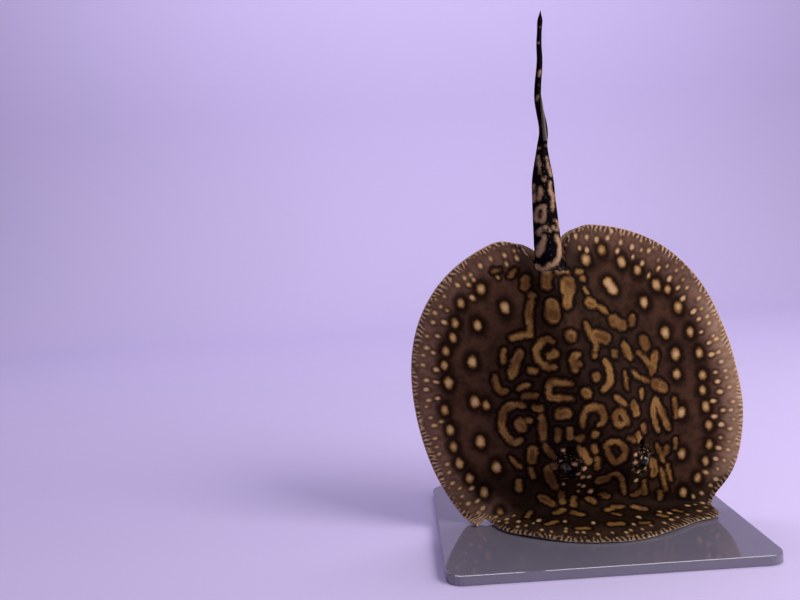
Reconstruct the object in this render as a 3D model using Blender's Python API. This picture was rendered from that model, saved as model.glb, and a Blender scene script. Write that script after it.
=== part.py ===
"""Freshwater stingray, life-size, nose down and flat against an upright plane.

The front of the disc is folded forward over the floor, as when the fish
presses into the corner of a tank.  The body is one form, laid out flat and
then bent, and is parted by thin cuts into head, snout, trunk, fins and tail
lengths.  A plain display stand carries it: a flat plate and two rods.

Axes: +Z up, the back of the fish faces -Y, the tail points up.
The origin is the middle of the plate's underside.  Lengths are in metres.

Flat layout of the fish: "across" runs to its left side, "back" runs from the
middle of the disc towards the tail, "rise" is the height over the belly.
"""
import math

import bmesh
import bpy
from mathutils import Matrix, Vector

# Disc outline: radius about the disc's middle, as a short cosine series.
DISC_RADIUS = 0.1576
LENGTHENED = 0.0083
REAR_FLATTENED = 0.0018
SQUARED = 0.0020
ROUNDED = 0.0010
SKEWED = 0.0034
FLARE = 0.0137
FLARE_ANGLE = math.radians(148.5)
FLARE_HALF_ANGLE = 0.099
NOTCH_DEPTH = 0.018
NOTCH_HALF_ANGLE = 0.118
NOTCH_SHOULDER = 0.013
NOTCH_SHOULDER_HALF_ANGLE = 0.19
NOTCH_INWARD_FADE = 2
PINCH_DEPTH = 0.0069
PINCH_ANGLE = math.radians(141)
PINCH_HALF_ANGLE = 0.163
NICK_DEPTH = 0.0190
NICK_ANGLE = math.radians(-134)
NICK_HALF_ANGLE = 0.075
NICK_INWARD_FADE = 5
LOBE_DEPTH = 0.0105
LOBE_ANGLE = math.radians(-129.2)
LOBE_HALF_ANGLE = 0.031

# Thickness of the flat fish.
RIM_THICKNESS = 0.0018
WING_THICKNESS = 0.0155
FRONT_THINNING = 0.42
FRONT_THINNING_BACK = (-0.030, -0.100)
SHOULDER_RISE = 0.025
SHOULDER_BACK = 0.004
SHOULDER_LENGTH_FRONT = 0.046
SHOULDER_LENGTH_REAR = 0.072
SHOULDER_HALF_WIDTH = 0.058
LOIN_RISE = 0.0115
LOIN_BACK = 0.112
LOIN_LENGTH = 0.050
LOIN_HALF_WIDTH = 0.021

# Head, turned a little to its own right.
HEAD_ACROSS = 0.0066
HEAD_BACK = -0.0545
HEAD_TURN = math.radians(-10.0)
HEAD_RISE = 0.013
HEAD_HALF_WIDTH = 0.036
HEAD_LENGTH_FRONT = 0.026
HEAD_LENGTH_REAR = 0.050
KNOB_OUT = 0.0265
KNOB_RISE = 0.0075
KNOB_HALF_WIDTH = 0.0095
KNOB_HALF_LENGTH = 0.0140
EYE_OUT = 0.0345
EYE_SINK = 0.0020
EYE_RADIUS = 0.0062
SPIRACLE_OUT = 0.0325
SPIRACLE_BACK = 0.0150
SPIRACLE_SIZE = (0.0042, 0.0060, 0.0070)
MOUTH_BACK = -0.078
MOUTH_SIZE = (0.0135, 0.0013, 0.0024)
GILL_PAIRS = 5
GILL_FIRST = (0.036, -0.060)
GILL_LAST = (0.026, -0.018)
GILL_SIZE = (0.0048, 0.0008, 0.0014)

# Stance: leaning in the upright plane, then bent onto the floor.
LEAN = math.radians(9.5)
DISC_MIDDLE_X = 0.0
DISC_MIDDLE_HEIGHT = 0.108
FOLD_MIDDLE_X = 0.010
FOLD_HALF_WIDTH = 0.118
FOLD_RADIUS_MIDDLE = 0.024
FOLD_RADIUS_SIDE = 0.006

# Tail: sideways place, distance before the belly plane and height of its middle line.
TAIL_ROUTE = (
    (-0.0155, 0.0105, 0.196),
    (-0.0215, 0.0112, 0.232),
    (-0.0232, 0.0108, 0.268),
    (-0.0238, 0.0092, 0.305),
    (-0.0226, 0.0074, 0.336),
    (-0.0205, 0.0066, 0.354),
    (-0.0238, 0.0058, 0.382),
    (-0.0205, 0.0050, 0.412),
    (-0.0200, 0.0044, 0.430),
    (-0.0172, 0.0038, 0.4565),
)
TAIL_RINGS_PER_SPAN = 4
TAIL_SIDES = 16
TAIL_WIDTH_ROOT = 0.0290
TAIL_WIDTH_STING = 0.0200
TAIL_WIDTH_WHIP = 0.0080
TAIL_WIDTH_TIP = 0.0036
TAIL_STING_AT = 0.40
TAIL_WHIP_AT = 0.585
TAIL_FLATNESS_ROOT = 0.74
TAIL_FLATNESS_TIP = 0.98
TIP_SWELLING = 0.0008
TIP_SWELLING_AT = 0.965
TIP_SWELLING_REACH = 0.018
TIP_POINTED = 0.72

# Sting on the upper side of the tail, and the pelvic fins beside its root.
STING_AT = 0.565
STING_LENGTH = 0.044
STING_WIDTH = 0.0040
STING_THICKNESS = 0.0016
STING_ASIDE = 0.0014
PELVIC_ACROSS = 0.026
PELVIC_BACK = 0.127
PELVIC_HALF_LENGTH = 0.029
PELVIC_HALF_WIDTH = 0.023
PELVIC_HALF_THICKNESS = 0.0012
PELVIC_SPLAY = math.radians(38.0)

# Where the body is parted.
GAP = 0.0003
CORE_HALF_WIDTHS = (
    (-0.060, 0.0530),
    (-0.030, 0.0580),
    (0.000, 0.0590),
    (0.030, 0.0550),
    (0.060, 0.0460),
    (0.090, 0.0300),
    (0.115, 0.0185),
    (0.135, 0.0175),
    (0.165, 0.0200),
)
CORE_LEG_SHIFT = 0.006
SNOUT_CUT_HEIGHT = 0.030
NECK_BACK = -0.012
TAIL_CUT_HEIGHTS = (0.236, 0.330, 0.392)

# Display stand.
BASE_SIZE = (0.270, 0.220, 0.008)
BASE_CORNER_RADIUS = 0.014
BASE_EDGE = 0.001
ROD_RADIUS = 0.004
ROD_SPREAD = 0.034
ROD_MIDDLE_X = -0.008
ROD_DISTANCE = 0.040
ROD_HEIGHT = 0.170
ROD_BEND_RADIUS = 0.022
PAD_RADIUS = 0.011
PAD_THICKNESS = 0.003

GRID_CELLS = 34
REACH = 0.5

SKIN = ("skin", (0.090, 0.058, 0.036), 0.38, 0.0)
SKIN_PALE = ("skin_underside", (0.62, 0.56, 0.50), 0.42, 0.0)
EYE = ("eye_wet", (0.020, 0.016, 0.018), 0.06, 0.0)
STING = ("sting_horn", (0.36, 0.29, 0.21), 0.45, 0.0)
BASE = ("base_gloss", (0.23, 0.216, 0.296), 0.10, 0.0)
STEEL = ("rod_steel", (0.62, 0.63, 0.65), 0.28, 1.0)
RUBBER = ("pad_rubber", (0.05, 0.05, 0.055), 0.75, 0.0)


# ---------------------------------------------------------------- flat shape

def outline_radius(angle):
    """Distance from the disc's middle to its margin; angle 0 is the tail side."""
    return (DISC_RADIUS + LENGTHENED * math.cos(2 * angle)
            - REAR_FLATTENED * math.cos(3 * angle)
            - SQUARED * math.cos(4 * angle)
            - ROUNDED * math.cos(5 * angle)
            - SKEWED * math.sin(2 * angle)
            + FLARE * math.exp(-((angle - FLARE_ANGLE) / FLARE_HALF_ANGLE) ** 2))


def fold_pinch(angle):
    """How far the margin draws in at the right end of the folded front."""
    return PINCH_DEPTH * math.exp(-((angle - PINCH_ANGLE) / PINCH_HALF_ANGLE) ** 2)


def nick_rise(angle):
    """How far up the margin is drawn at the left end of the folded front."""
    return (NICK_DEPTH * math.exp(-((angle - NICK_ANGLE) / NICK_HALF_ANGLE) ** 2)
            - LOBE_DEPTH * math.exp(-((angle - LOBE_ANGLE) / LOBE_HALF_ANGLE) ** 2))


def disc_point(column, row):
    """Turn a place on a square grid (-1 to 1) into (across, back, part of radius)."""
    east = column * math.sqrt(1.0 - row * row / 2.0)
    north = row * math.sqrt(1.0 - column * column / 2.0)
    part = min(1.0, math.hypot(east, north))
    angle = math.atan2(east, north) + LEAN
    notch = (NOTCH_DEPTH * math.exp(-(angle / NOTCH_HALF_ANGLE) ** 6)
             + NOTCH_SHOULDER * math.exp(-(angle / NOTCH_SHOULDER_HALF_ANGLE) ** 4)
             + fold_pinch(angle))
    radius = part * (outline_radius(angle) - notch * part ** NOTCH_INWARD_FADE)
    up = nick_rise(angle) * part ** NICK_INWARD_FADE
    return (radius * math.sin(angle) + up * math.sin(LEAN),
            radius * math.cos(angle) + up * math.cos(LEAN), part)


def smooth_step(value):
    value = min(1.0, max(0.0, value))
    return value * value * (3.0 - 2.0 * value)


def hump(distance, front, rear):
    """A smooth hump along the body, with its own reach forward and back."""
    reach = rear if distance > 0.0 else front
    return math.exp(-(distance / reach) ** 2)


def plateau(distance, half_width, steepness):
    return math.exp(-(abs(distance) / half_width) ** steepness)


def head_place(out, ahead):
    """Flat place of a point given in the turned head's own directions."""
    c, s = math.cos(HEAD_TURN), math.sin(HEAD_TURN)
    return HEAD_ACROSS + out * c - ahead * s, HEAD_BACK + out * s + ahead * c


def upper_rise(across, back, part):
    """Height of the upper surface over the belly plane."""
    start, end = FRONT_THINNING_BACK
    thinning = 1.0 - FRONT_THINNING * smooth_step((back - start) / (end - start))
    rise = RIM_THICKNESS + WING_THICKNESS * thinning * (1.0 - part ** 2) ** 0.8
    rise += (SHOULDER_RISE * hump(back - SHOULDER_BACK, SHOULDER_LENGTH_FRONT, SHOULDER_LENGTH_REAR)
             * plateau(across, SHOULDER_HALF_WIDTH - 0.12 * max(0.0, back), 2.8))
    rise += (LOIN_RISE * hump(back - LOIN_BACK, LOIN_LENGTH, LOIN_LENGTH)
             * plateau(across, LOIN_HALF_WIDTH, 3.0))
    c, s = math.cos(HEAD_TURN), math.sin(HEAD_TURN)
    x, y = across - HEAD_ACROSS, back - HEAD_BACK
    out, ahead = x * c + y * s, y * c - x * s
    rise += (HEAD_RISE * hump(ahead, HEAD_LENGTH_FRONT, HEAD_LENGTH_REAR)
             * plateau(out, HEAD_HALF_WIDTH, 3.5))
    rise += (KNOB_RISE * hump(ahead, KNOB_HALF_LENGTH, KNOB_HALF_LENGTH)
             * hump(abs(out) - KNOB_OUT, KNOB_HALF_WIDTH, KNOB_HALF_WIDTH))
    return rise


def part_of_radius(across, back):
    angle = math.atan2(across, back)
    return min(1.0, math.hypot(across, back) / outline_radius(angle))


# -------------------------------------------------------------------- stance

def fold_radius(x):
    """Bend radius at the floor: wide under the head, tight at the margins."""
    q = min(1.0, abs(x - FOLD_MIDDLE_X) / FOLD_HALF_WIDTH)
    return FOLD_RADIUS_SIDE + (FOLD_RADIUS_MIDDLE - FOLD_RADIUS_SIDE) * (1.0 - q * q) ** 2


def stand_up(across, back, rise):
    """Place of a flat point on the standing, folded fish."""
    x = DISC_MIDDLE_X + across * math.cos(LEAN) - back * math.sin(LEAN)
    height = DISC_MIDDLE_HEIGHT + across * math.sin(LEAN) + back * math.cos(LEAN)
    radius = fold_radius(x)
    floor = BASE_SIZE[2] + GAP
    if height >= radius:
        return Vector((x, -rise, floor + height))
    turned = (radius - height) / radius
    if turned <= math.pi / 2:
        inner = radius - rise
        return Vector((x, -radius + inner * math.cos(turned), floor + radius - inner * math.sin(turned)))
    along = (turned - math.pi / 2) * radius
    return Vector((x, -radius - along, floor + rise))


def stand_up_frame(across, back, rise):
    """Matrix of a place on the fish: across, back and rise as its three axes."""
    here = stand_up(across, back, rise)
    step = 0.0005
    side = (stand_up(across + step, back, rise) - here).normalized()
    up = (stand_up(across, back, rise + step) - here).normalized()
    rear = up.cross(side).normalized()
    side = rear.cross(up)
    turn = Matrix((side, rear, up)).transposed().to_4x4()
    return Matrix.Translation(here) @ turn


# ------------------------------------------------------------------- helpers

def clear_scene():
    for old in list(bpy.data.objects):
        bpy.data.objects.remove(old, do_unlink=True)


def collection(name):
    made = bpy.data.collections.new(name)
    bpy.context.scene.collection.children.link(made)
    return made


def material(name, colour, roughness, metallic):
    found = bpy.data.materials.get(name)
    if found:
        return found
    made = bpy.data.materials.new(name)
    made.use_nodes = True
    shader = made.node_tree.nodes["Principled BSDF"]
    shader.inputs["Base Color"].default_value = (*colour, 1.0)
    shader.inputs["Roughness"].default_value = roughness
    shader.inputs["Metallic"].default_value = metallic
    return made


def object_from(bm, name, home, finish=SKIN, smooth=True):
    """Store a bmesh as a triangulated object with outward faces."""
    bmesh.ops.recalc_face_normals(bm, faces=bm.faces[:])
    bmesh.ops.triangulate(bm, faces=bm.faces[:])
    mesh = bpy.data.meshes.new(name)
    bm.to_mesh(mesh)
    bm.free()
    if smooth:
        mesh.shade_smooth()
        mesh.set_sharp_from_angle(angle=math.radians(40))
    mesh.materials.append(material(*finish))
    made = bpy.data.objects.new(name, mesh)
    home.objects.link(made)
    return made


def as_cutter(made):
    made.hide_render = True
    made.display_type = "WIRE"
    return made


def combined(target, others, operation):
    """Apply exact Booleans and give the target the resulting mesh."""
    for other in others:
        change = target.modifiers.new("combine", "BOOLEAN")
        change.operation = operation
        change.solver = "EXACT"
        change.object = other
    bpy.context.view_layer.update()
    graph = bpy.context.evaluated_depsgraph_get()
    result = bpy.data.meshes.new_from_object(target.evaluated_get(graph))
    target.modifiers.clear()
    target.data = result
    for other in others:
        bpy.data.objects.remove(other, do_unlink=True)
    return target


def split_pieces(whole, namer, home):
    """Part an object into its loose pieces, each named by its middle."""
    bm = bmesh.new()
    bm.from_mesh(whole.data)
    bmesh.ops.remove_doubles(bm, verts=bm.verts[:], dist=1e-7)
    left = set(bm.faces)
    pieces = []
    while left:
        seed = left.pop()
        found, queue = [seed], [seed]
        while queue:
            for edge in queue.pop().edges:
                for face in edge.link_faces:
                    if face in left:
                        left.remove(face)
                        found.append(face)
                        queue.append(face)
        pieces.append(found)
    made = []
    for faces in pieces:
        corners = {vert for face in faces for vert in face.verts}
        if len(corners) < 12:
            continue
        middle = sum((vert.co for vert in corners), Vector()) / len(corners)
        piece = bmesh.new()
        twin = {vert: piece.verts.new(vert.co) for vert in corners}
        for face in faces:
            piece.faces.new([twin[vert] for vert in face.verts])
        made.append(object_from(piece, namer(middle), home))
    bm.free()
    bpy.data.objects.remove(whole, do_unlink=True)
    return made


# -------------------------------------------------------------------- pieces

def make_disc(home):
    """The disc and head as one closed form, already in its stance."""
    bm = bmesh.new()
    bmesh.ops.create_grid(bm, x_segments=GRID_CELLS, y_segments=GRID_CELLS, size=1.0)
    lower = list(bm.verts)
    grown = bmesh.ops.extrude_face_region(bm, geom=bm.faces[:], use_keep_orig=True)
    upper = [item for item in grown["geom"] if isinstance(item, bmesh.types.BMVert)]
    for vert in upper:
        across, back, part = disc_point(vert.co.x, vert.co.y)
        vert.co = stand_up(across, back, upper_rise(across, back, part))
    for vert in lower:
        across, back, part = disc_point(vert.co.x, vert.co.y)
        vert.co = stand_up(across, back, 0.0)
    return object_from(bm, "fish", home)


def smooth_route(points, spans):
    """Catmull-Rom curve through the points, with a few steps in each span."""
    knots = [Vector(p) for p in points]
    ends = [2 * knots[0] - knots[1], *knots, 2 * knots[-1] - knots[-2]]
    route = []
    for i in range(1, len(ends) - 2):
        p0, p1, p2, p3 = ends[i - 1:i + 3]
        for k in range(spans):
            t = k / spans
            route.append(0.5 * (2 * p1 + (p2 - p0) * t + (2 * p0 - 5 * p1 + 4 * p2 - p3) * t * t
                                + (3 * p1 - p0 - 3 * p2 + p3) * t ** 3))
    route.append(knots[-1])
    return route


def tail_line():
    points = [(x, -before, BASE_SIZE[2] + GAP + height) for x, before, height in TAIL_ROUTE]
    return smooth_route(points, TAIL_RINGS_PER_SPAN)


def tail_size(part):
    """Width and thickness of the tail at a part of its length."""
    if part < TAIL_STING_AT:
        width = TAIL_WIDTH_ROOT + (TAIL_WIDTH_STING - TAIL_WIDTH_ROOT) * part / TAIL_STING_AT
    elif part < TAIL_WHIP_AT:
        t = (part - TAIL_STING_AT) / (TAIL_WHIP_AT - TAIL_STING_AT)
        width = TAIL_WIDTH_STING + (TAIL_WIDTH_WHIP - TAIL_WIDTH_STING) * t * t * (3 - 2 * t)
    else:
        t = (part - TAIL_WHIP_AT) / (1.0 - TAIL_WHIP_AT)
        width = TAIL_WIDTH_WHIP + (TAIL_WIDTH_TIP - TAIL_WIDTH_WHIP) * t ** 0.8
    width += TIP_SWELLING * math.exp(-((part - TIP_SWELLING_AT) / TIP_SWELLING_REACH) ** 2)
    width *= 1.0 - TIP_POINTED * smooth_step((part - TIP_SWELLING_AT) / (1.0 - TIP_SWELLING_AT))
    flatness = TAIL_FLATNESS_ROOT + (TAIL_FLATNESS_TIP - TAIL_FLATNESS_ROOT) * part
    return width, width * flatness


def lengths_along(route):
    total = [0.0]
    for before, after in zip(route, route[1:]):
        total.append(total[-1] + (after - before).length)
    return [value / total[-1] for value in total]


def ring_frame(route, index):
    """Place and directions of one ring: side to +X, up out of the fish's back."""
    ahead = (route[min(index + 1, len(route) - 1)] - route[max(index - 1, 0)]).normalized()
    side = ahead.cross(Vector((0.0, 1.0, 0.0))).normalized() * -1.0
    if side.x < 0.0:
        side.negate()
    up = side.cross(ahead).normalized()
    if up.y > 0.0:
        up.negate()
    return side, up


def make_tail(home):
    bm = bmesh.new()
    route = tail_line()
    parts = lengths_along(route)
    ring = bmesh.ops.create_circle(bm, cap_ends=False, segments=TAIL_SIDES, radius=1.0)["verts"]
    first = list(ring)
    shape = [vert.co.copy() for vert in ring]
    rings = [ring]
    edges = bm.edges[:]
    for _ in route[1:]:
        grown = bmesh.ops.extrude_edge_only(bm, edges=edges)["geom"]
        edges = [item for item in grown if isinstance(item, bmesh.types.BMEdge)]
        edges = [edge for edge in edges if len(edge.link_faces) == 1]
        rings.append([item for item in grown if isinstance(item, bmesh.types.BMVert)])
    for index, ring in enumerate(rings):
        side, up = ring_frame(route, index)
        width, thickness = tail_size(parts[index])
        for vert, corner in zip(ring, shape):
            vert.co = route[index] + side * corner.x * width / 2 + up * corner.y * thickness / 2
    bmesh.ops.contextual_create(bm, geom=first)
    bmesh.ops.contextual_create(bm, geom=rings[-1])
    return object_from(bm, "tail", home)


def lens(size, place, home, name, segments=12, rings=6):
    """An ellipsoid with the given half sizes, set at a place's own axes."""
    bm = bmesh.new()
    scale = Matrix.Diagonal((*size, 1.0))
    bmesh.ops.create_uvsphere(bm, u_segments=segments, v_segments=rings, radius=1.0,
                              matrix=place @ scale)
    return object_from(bm, name, home)


def head_frame(out, ahead, sink):
    """Matrix at the head's upper surface, sunk in by the given depth."""
    across, back = head_place(out, ahead)
    rise = upper_rise(across, back, part_of_radius(across, back)) - sink
    turn = Matrix.Rotation(HEAD_TURN, 4, "Z")
    return stand_up_frame(across, back, rise) @ turn


def opening_cutters(home):
    """Eye sockets, spiracles, mouth and gill slits."""
    cutters = []
    for side in (-1, 1):
        socket = EYE_RADIUS + GAP
        cutters.append(lens((socket,) * 3, head_frame(side * EYE_OUT, 0.0, EYE_SINK), home,
                            "eye_socket", 16, 10))
        tilt = Matrix.Rotation(side * math.radians(30), 4, "Y")
        cutters.append(lens(SPIRACLE_SIZE, head_frame(side * SPIRACLE_OUT, SPIRACLE_BACK, 0.001) @ tilt,
                            home, "spiracle", 10, 6))
        for number in range(GILL_PAIRS):
            t = number / (GILL_PAIRS - 1)
            across = side * (GILL_FIRST[0] + (GILL_LAST[0] - GILL_FIRST[0]) * t)
            back = GILL_FIRST[1] + (GILL_LAST[1] - GILL_FIRST[1]) * t
            turn = Matrix.Rotation(side * math.radians(18), 4, "Z")
            cutters.append(lens(GILL_SIZE, stand_up_frame(across, back, 0.0) @ turn, home,
                                "gill_slit", 8, 4))
    cutters.append(lens(MOUTH_SIZE, stand_up_frame(0.0, MOUTH_BACK, 0.0), home, "mouth", 12, 4))
    return [as_cutter(cutter) for cutter in cutters]


def side_kerf(side, home):
    """Thin wall that parts one pectoral fin from the head and trunk."""
    line = []
    for back, half in CORE_HALF_WIDTHS:
        place = stand_up(side * half, back, 0.0)
        line.append((place.x, place.z))
    x, z = line[0]
    line = [(x + CORE_LEG_SHIFT, -0.02), (x + CORE_LEG_SHIFT, BASE_SIZE[2] + 0.004), *line]
    bm = bmesh.new()
    corners = [bm.verts.new((x, REACH * -0.5, z)) for x, z in line]
    edges = [bm.edges.new(pair) for pair in zip(corners, corners[1:])]
    grown = bmesh.ops.extrude_edge_only(bm, edges=edges)["geom"]
    for item in grown:
        if isinstance(item, bmesh.types.BMVert):
            item.co.y += REACH
    bmesh.ops.recalc_face_normals(bm, faces=bm.faces[:])
    bmesh.ops.solidify(bm, geom=bm.faces[:], thickness=GAP)
    return as_cutter(object_from(bm, "side_cut", home, smooth=False))


def slab(middle, tilt, home):
    """Thin level slab, turned about Y by tilt, that cuts right across."""
    bm = bmesh.new()
    place = Matrix.Translation(middle) @ Matrix.Rotation(tilt, 4, "Y")
    bmesh.ops.create_cube(bm, size=1.0, matrix=place @ Matrix.Diagonal((REACH, REACH, GAP, 1.0)))
    return as_cutter(object_from(bm, "cross_cut", home, smooth=False))


def fin_or_core(middle):
    """Name of a piece after the side cuts."""
    side = (middle.x + (middle.z - DISC_MIDDLE_HEIGHT) * math.tan(LEAN)) / SHOULDER_HALF_WIDTH
    if side > 0.6:
        return "pectoral_fin_left"
    if side < -0.6:
        return "pectoral_fin_right"
    return "core"


def core_namer(cuts, names):
    def namer(middle):
        return names[sum(1 for cut in cuts if middle.z > cut)]
    return namer


def make_flesh(home, cutters):
    whole = combined(make_disc(home), [as_cutter(make_tail(cutters))], "UNION")
    whole = combined(whole, opening_cutters(cutters), "DIFFERENCE")
    whole = combined(whole, [side_kerf(-1, cutters), side_kerf(1, cutters)], "DIFFERENCE")
    pieces = split_pieces(whole, fin_or_core, home)
    core = next(piece for piece in pieces if piece.name == "core")
    floor = BASE_SIZE[2] + GAP
    snout_cut = Vector((0.0, 0.0, floor + SNOUT_CUT_HEIGHT))
    neck_cut = stand_up(0.0, NECK_BACK, 0.0)
    slabs = [slab(snout_cut, 0.0, cutters), slab(neck_cut, -LEAN, cutters)]
    cuts = [snout_cut.z, neck_cut.z]
    for height in TAIL_CUT_HEIGHTS:
        slabs.append(slab(Vector((0.0, 0.0, floor + height)), 0.0, cutters))
        cuts.append(floor + height)
    core = combined(core, slabs, "DIFFERENCE")
    names = ("snout", "head", "trunk", "tail_base", "tail_middle", "tail_tip")
    split_pieces(core, core_namer(cuts, names), home)


def make_eyes(home):
    for side, name in ((-1, "eye_right"), (1, "eye_left")):
        eye = lens((EYE_RADIUS,) * 3, head_frame(side * EYE_OUT, 0.0, EYE_SINK), home, name, 16, 10)
        eye.data.materials[0] = material(*EYE)


def make_pelvic_fins(home):
    for side, name in ((-1, "pelvic_fin_right"), (1, "pelvic_fin_left")):
        place = stand_up_frame(side * PELVIC_ACROSS, PELVIC_BACK, -PELVIC_HALF_THICKNESS - GAP)
        turn = Matrix.Rotation(side * (math.pi / 2 - PELVIC_SPLAY), 4, "Z")
        size = (PELVIC_HALF_LENGTH, PELVIC_HALF_WIDTH, PELVIC_HALF_THICKNESS)
        fin = lens(size, place @ turn, home, name, 24, 6)
        fin.data.materials[0] = material(*SKIN_PALE)


def make_sting(home):
    """A flat tapering blade that lies along the upper side of the tail."""
    route = tail_line()
    parts = lengths_along(route)
    start = min(range(len(parts)), key=lambda i: abs(parts[i] - STING_AT))
    end = min(range(len(parts)), key=lambda i: abs((route[i] - route[start]).length - STING_LENGTH))
    side, up = ring_frame(route, start)
    lift = tail_size(parts[start])[1] / 2 + GAP + STING_THICKNESS / 2
    root = route[start] + up * lift + side * STING_ASIDE
    tip = route[end] + up * (lift + GAP) + side * STING_ASIDE
    ahead = (tip - root).normalized()
    side = up.cross(ahead).normalized()
    up = ahead.cross(side)
    place = Matrix.Translation(root) @ Matrix((side, up, ahead)).transposed().to_4x4()
    bm = bmesh.new()
    made = bmesh.ops.create_cone(bm, cap_ends=True, segments=8, radius1=0.5, radius2=0.04, depth=1.0)
    for vert in made["verts"]:
        vert.co = place @ Vector((vert.co.x * STING_WIDTH, vert.co.y * STING_THICKNESS,
                                  (vert.co.z + 0.5) * STING_LENGTH))
    object_from(bm, "tail_sting", home, STING)


def make_base(home):
    bm = bmesh.new()
    middle = Matrix.Translation((0.0, 0.0, BASE_SIZE[2] / 2))
    bmesh.ops.create_cube(bm, size=1.0, matrix=middle @ Matrix.Diagonal((*BASE_SIZE, 1.0)))
    upright = [e for e in bm.edges if abs(e.verts[0].co.z - e.verts[1].co.z) > BASE_EDGE]
    bmesh.ops.bevel(bm, geom=upright, offset=BASE_CORNER_RADIUS, offset_type="OFFSET", segments=6,
                    profile=0.5, affect="EDGES", material=-1)
    rim = [e for e in bm.edges if min(v.co.z for v in e.verts) > BASE_SIZE[2] - BASE_EDGE / 2]
    bmesh.ops.bevel(bm, geom=rim, offset=BASE_EDGE, offset_type="OFFSET", segments=2,
                    profile=0.5, affect="EDGES", material=-1)
    object_from(bm, "stand_base", home, BASE, smooth=False)


def rod_points(x):
    """Straight up behind the fish, then a quarter bend towards the belly."""
    foot = BASE_SIZE[2] + GAP
    end = PAD_THICKNESS + 2 * GAP
    bend_z = ROD_HEIGHT - ROD_BEND_RADIUS
    points = [(x, ROD_DISTANCE, foot), (x, ROD_DISTANCE, bend_z)]
    for step in range(1, 9):
        turned = step / 8 * math.pi / 2
        points.append((x, ROD_DISTANCE - ROD_BEND_RADIUS * (1 - math.cos(turned)),
                       bend_z + ROD_BEND_RADIUS * math.sin(turned)))
    points.append((x, end, ROD_HEIGHT))
    return points


def make_rod(name, x, home):
    curve = bpy.data.curves.new(name, "CURVE")
    curve.dimensions = "3D"
    curve.bevel_depth = ROD_RADIUS
    curve.bevel_resolution = 3
    curve.use_fill_caps = True
    spline = curve.splines.new("POLY")
    points = rod_points(x)
    spline.points.add(len(points) - 1)
    for point, place in zip(spline.points, points):
        point.co = (*place, 1.0)
    guide = bpy.data.objects.new(name + "_line", curve)
    home.objects.link(guide)
    bpy.context.view_layer.update()
    graph = bpy.context.evaluated_depsgraph_get()
    tube = bpy.data.meshes.new_from_object(guide.evaluated_get(graph))
    bpy.data.objects.remove(guide, do_unlink=True)
    bm = bmesh.new()
    bm.from_mesh(tube)
    bmesh.ops.remove_doubles(bm, verts=bm.verts[:], dist=1e-6)
    return object_from(bm, name, home, STEEL)


def make_pad(name, x, home):
    bm = bmesh.new()
    place = Matrix.Translation((x, GAP + PAD_THICKNESS / 2, ROD_HEIGHT)) @ Matrix.Rotation(math.pi / 2, 4, "X")
    bmesh.ops.create_cone(bm, cap_ends=True, segments=28, radius1=PAD_RADIUS, radius2=PAD_RADIUS,
                          depth=PAD_THICKNESS, matrix=place)
    object_from(bm, name, home, RUBBER)


def make_stand(home):
    make_base(home)
    for side, word in ((-1, "right"), (1, "left")):
        x = ROD_MIDDLE_X + side * ROD_SPREAD
        make_rod("stand_rod_" + word, x, home)
        make_pad("stand_pad_" + word, x, home)


def main():
    clear_scene()
    home = collection("freshwater_stingray")
    cutters = collection("cutters")
    make_flesh(home, cutters)
    make_eyes(home)
    make_pelvic_fins(home)
    make_sting(home)
    make_stand(home)


main()
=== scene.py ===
"""Freshwater stingray, life-size, on a plain display stand: the finish of every surface.

The fish is modelled laid out flat, as a maker would carve it, then stood up and
folded over the base in one bend.  Flat layout, in metres: "across" runs to the
fish's left, "back" runs from the middle of the disc to the tail, "rise" is the
height over the belly.  Marks of the coat are laid out in millimetres on that plan.
"""
import math
import random

import bmesh
import bpy
import numpy as np
from mathutils import Matrix, Vector


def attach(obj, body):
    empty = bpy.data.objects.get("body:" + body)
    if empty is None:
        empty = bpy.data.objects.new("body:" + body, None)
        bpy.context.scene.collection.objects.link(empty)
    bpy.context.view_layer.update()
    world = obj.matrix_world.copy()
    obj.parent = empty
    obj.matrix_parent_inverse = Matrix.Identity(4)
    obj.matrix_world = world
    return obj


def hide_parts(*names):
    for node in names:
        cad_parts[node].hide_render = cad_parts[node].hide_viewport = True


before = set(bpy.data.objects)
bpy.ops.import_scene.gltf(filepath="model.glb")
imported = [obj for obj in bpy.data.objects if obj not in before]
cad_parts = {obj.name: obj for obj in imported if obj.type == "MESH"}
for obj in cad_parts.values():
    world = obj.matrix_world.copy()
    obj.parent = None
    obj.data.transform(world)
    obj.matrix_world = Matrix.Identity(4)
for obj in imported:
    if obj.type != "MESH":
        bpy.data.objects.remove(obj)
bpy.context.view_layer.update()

bl_info = {
    "name": "Freshwater stingray display model",
    "version": (1, 0, 0),
    "blender": (4, 5, 0),
    "location": "3D View > Sidebar > Stingray",
    "description": "Dresses the packed stingray: patterned skin, eyes, sting, stand and studio",
    "category": "Object",
}

MM = 0.001

# ------------------------------------------------------------ sizes of the fish
# Disc outline: radius about the disc's middle, as a short cosine series.
DISC_RADIUS = 0.1576
LENGTHENED = 0.0083
REAR_FLATTENED = 0.0018
SQUARED = 0.0020
ROUNDED = 0.0010
SKEWED = 0.0034
FLARE = 0.0137
FLARE_ANGLE = math.radians(148.5)
FLARE_HALF_ANGLE = 0.099
NOTCH_DEPTH = 0.018
NOTCH_HALF_ANGLE = 0.118
NOTCH_SHOULDER = 0.013
NOTCH_SHOULDER_HALF_ANGLE = 0.19
NOTCH_INWARD_FADE = 2
PINCH_DEPTH = 0.0069
PINCH_ANGLE = math.radians(141)
PINCH_HALF_ANGLE = 0.163
NICK_DEPTH = 0.0190
NICK_ANGLE = math.radians(-134)
NICK_HALF_ANGLE = 0.075
NICK_INWARD_FADE = 5
LOBE_DEPTH = 0.0105
LOBE_ANGLE = math.radians(-129.2)
LOBE_HALF_ANGLE = 0.031

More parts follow.
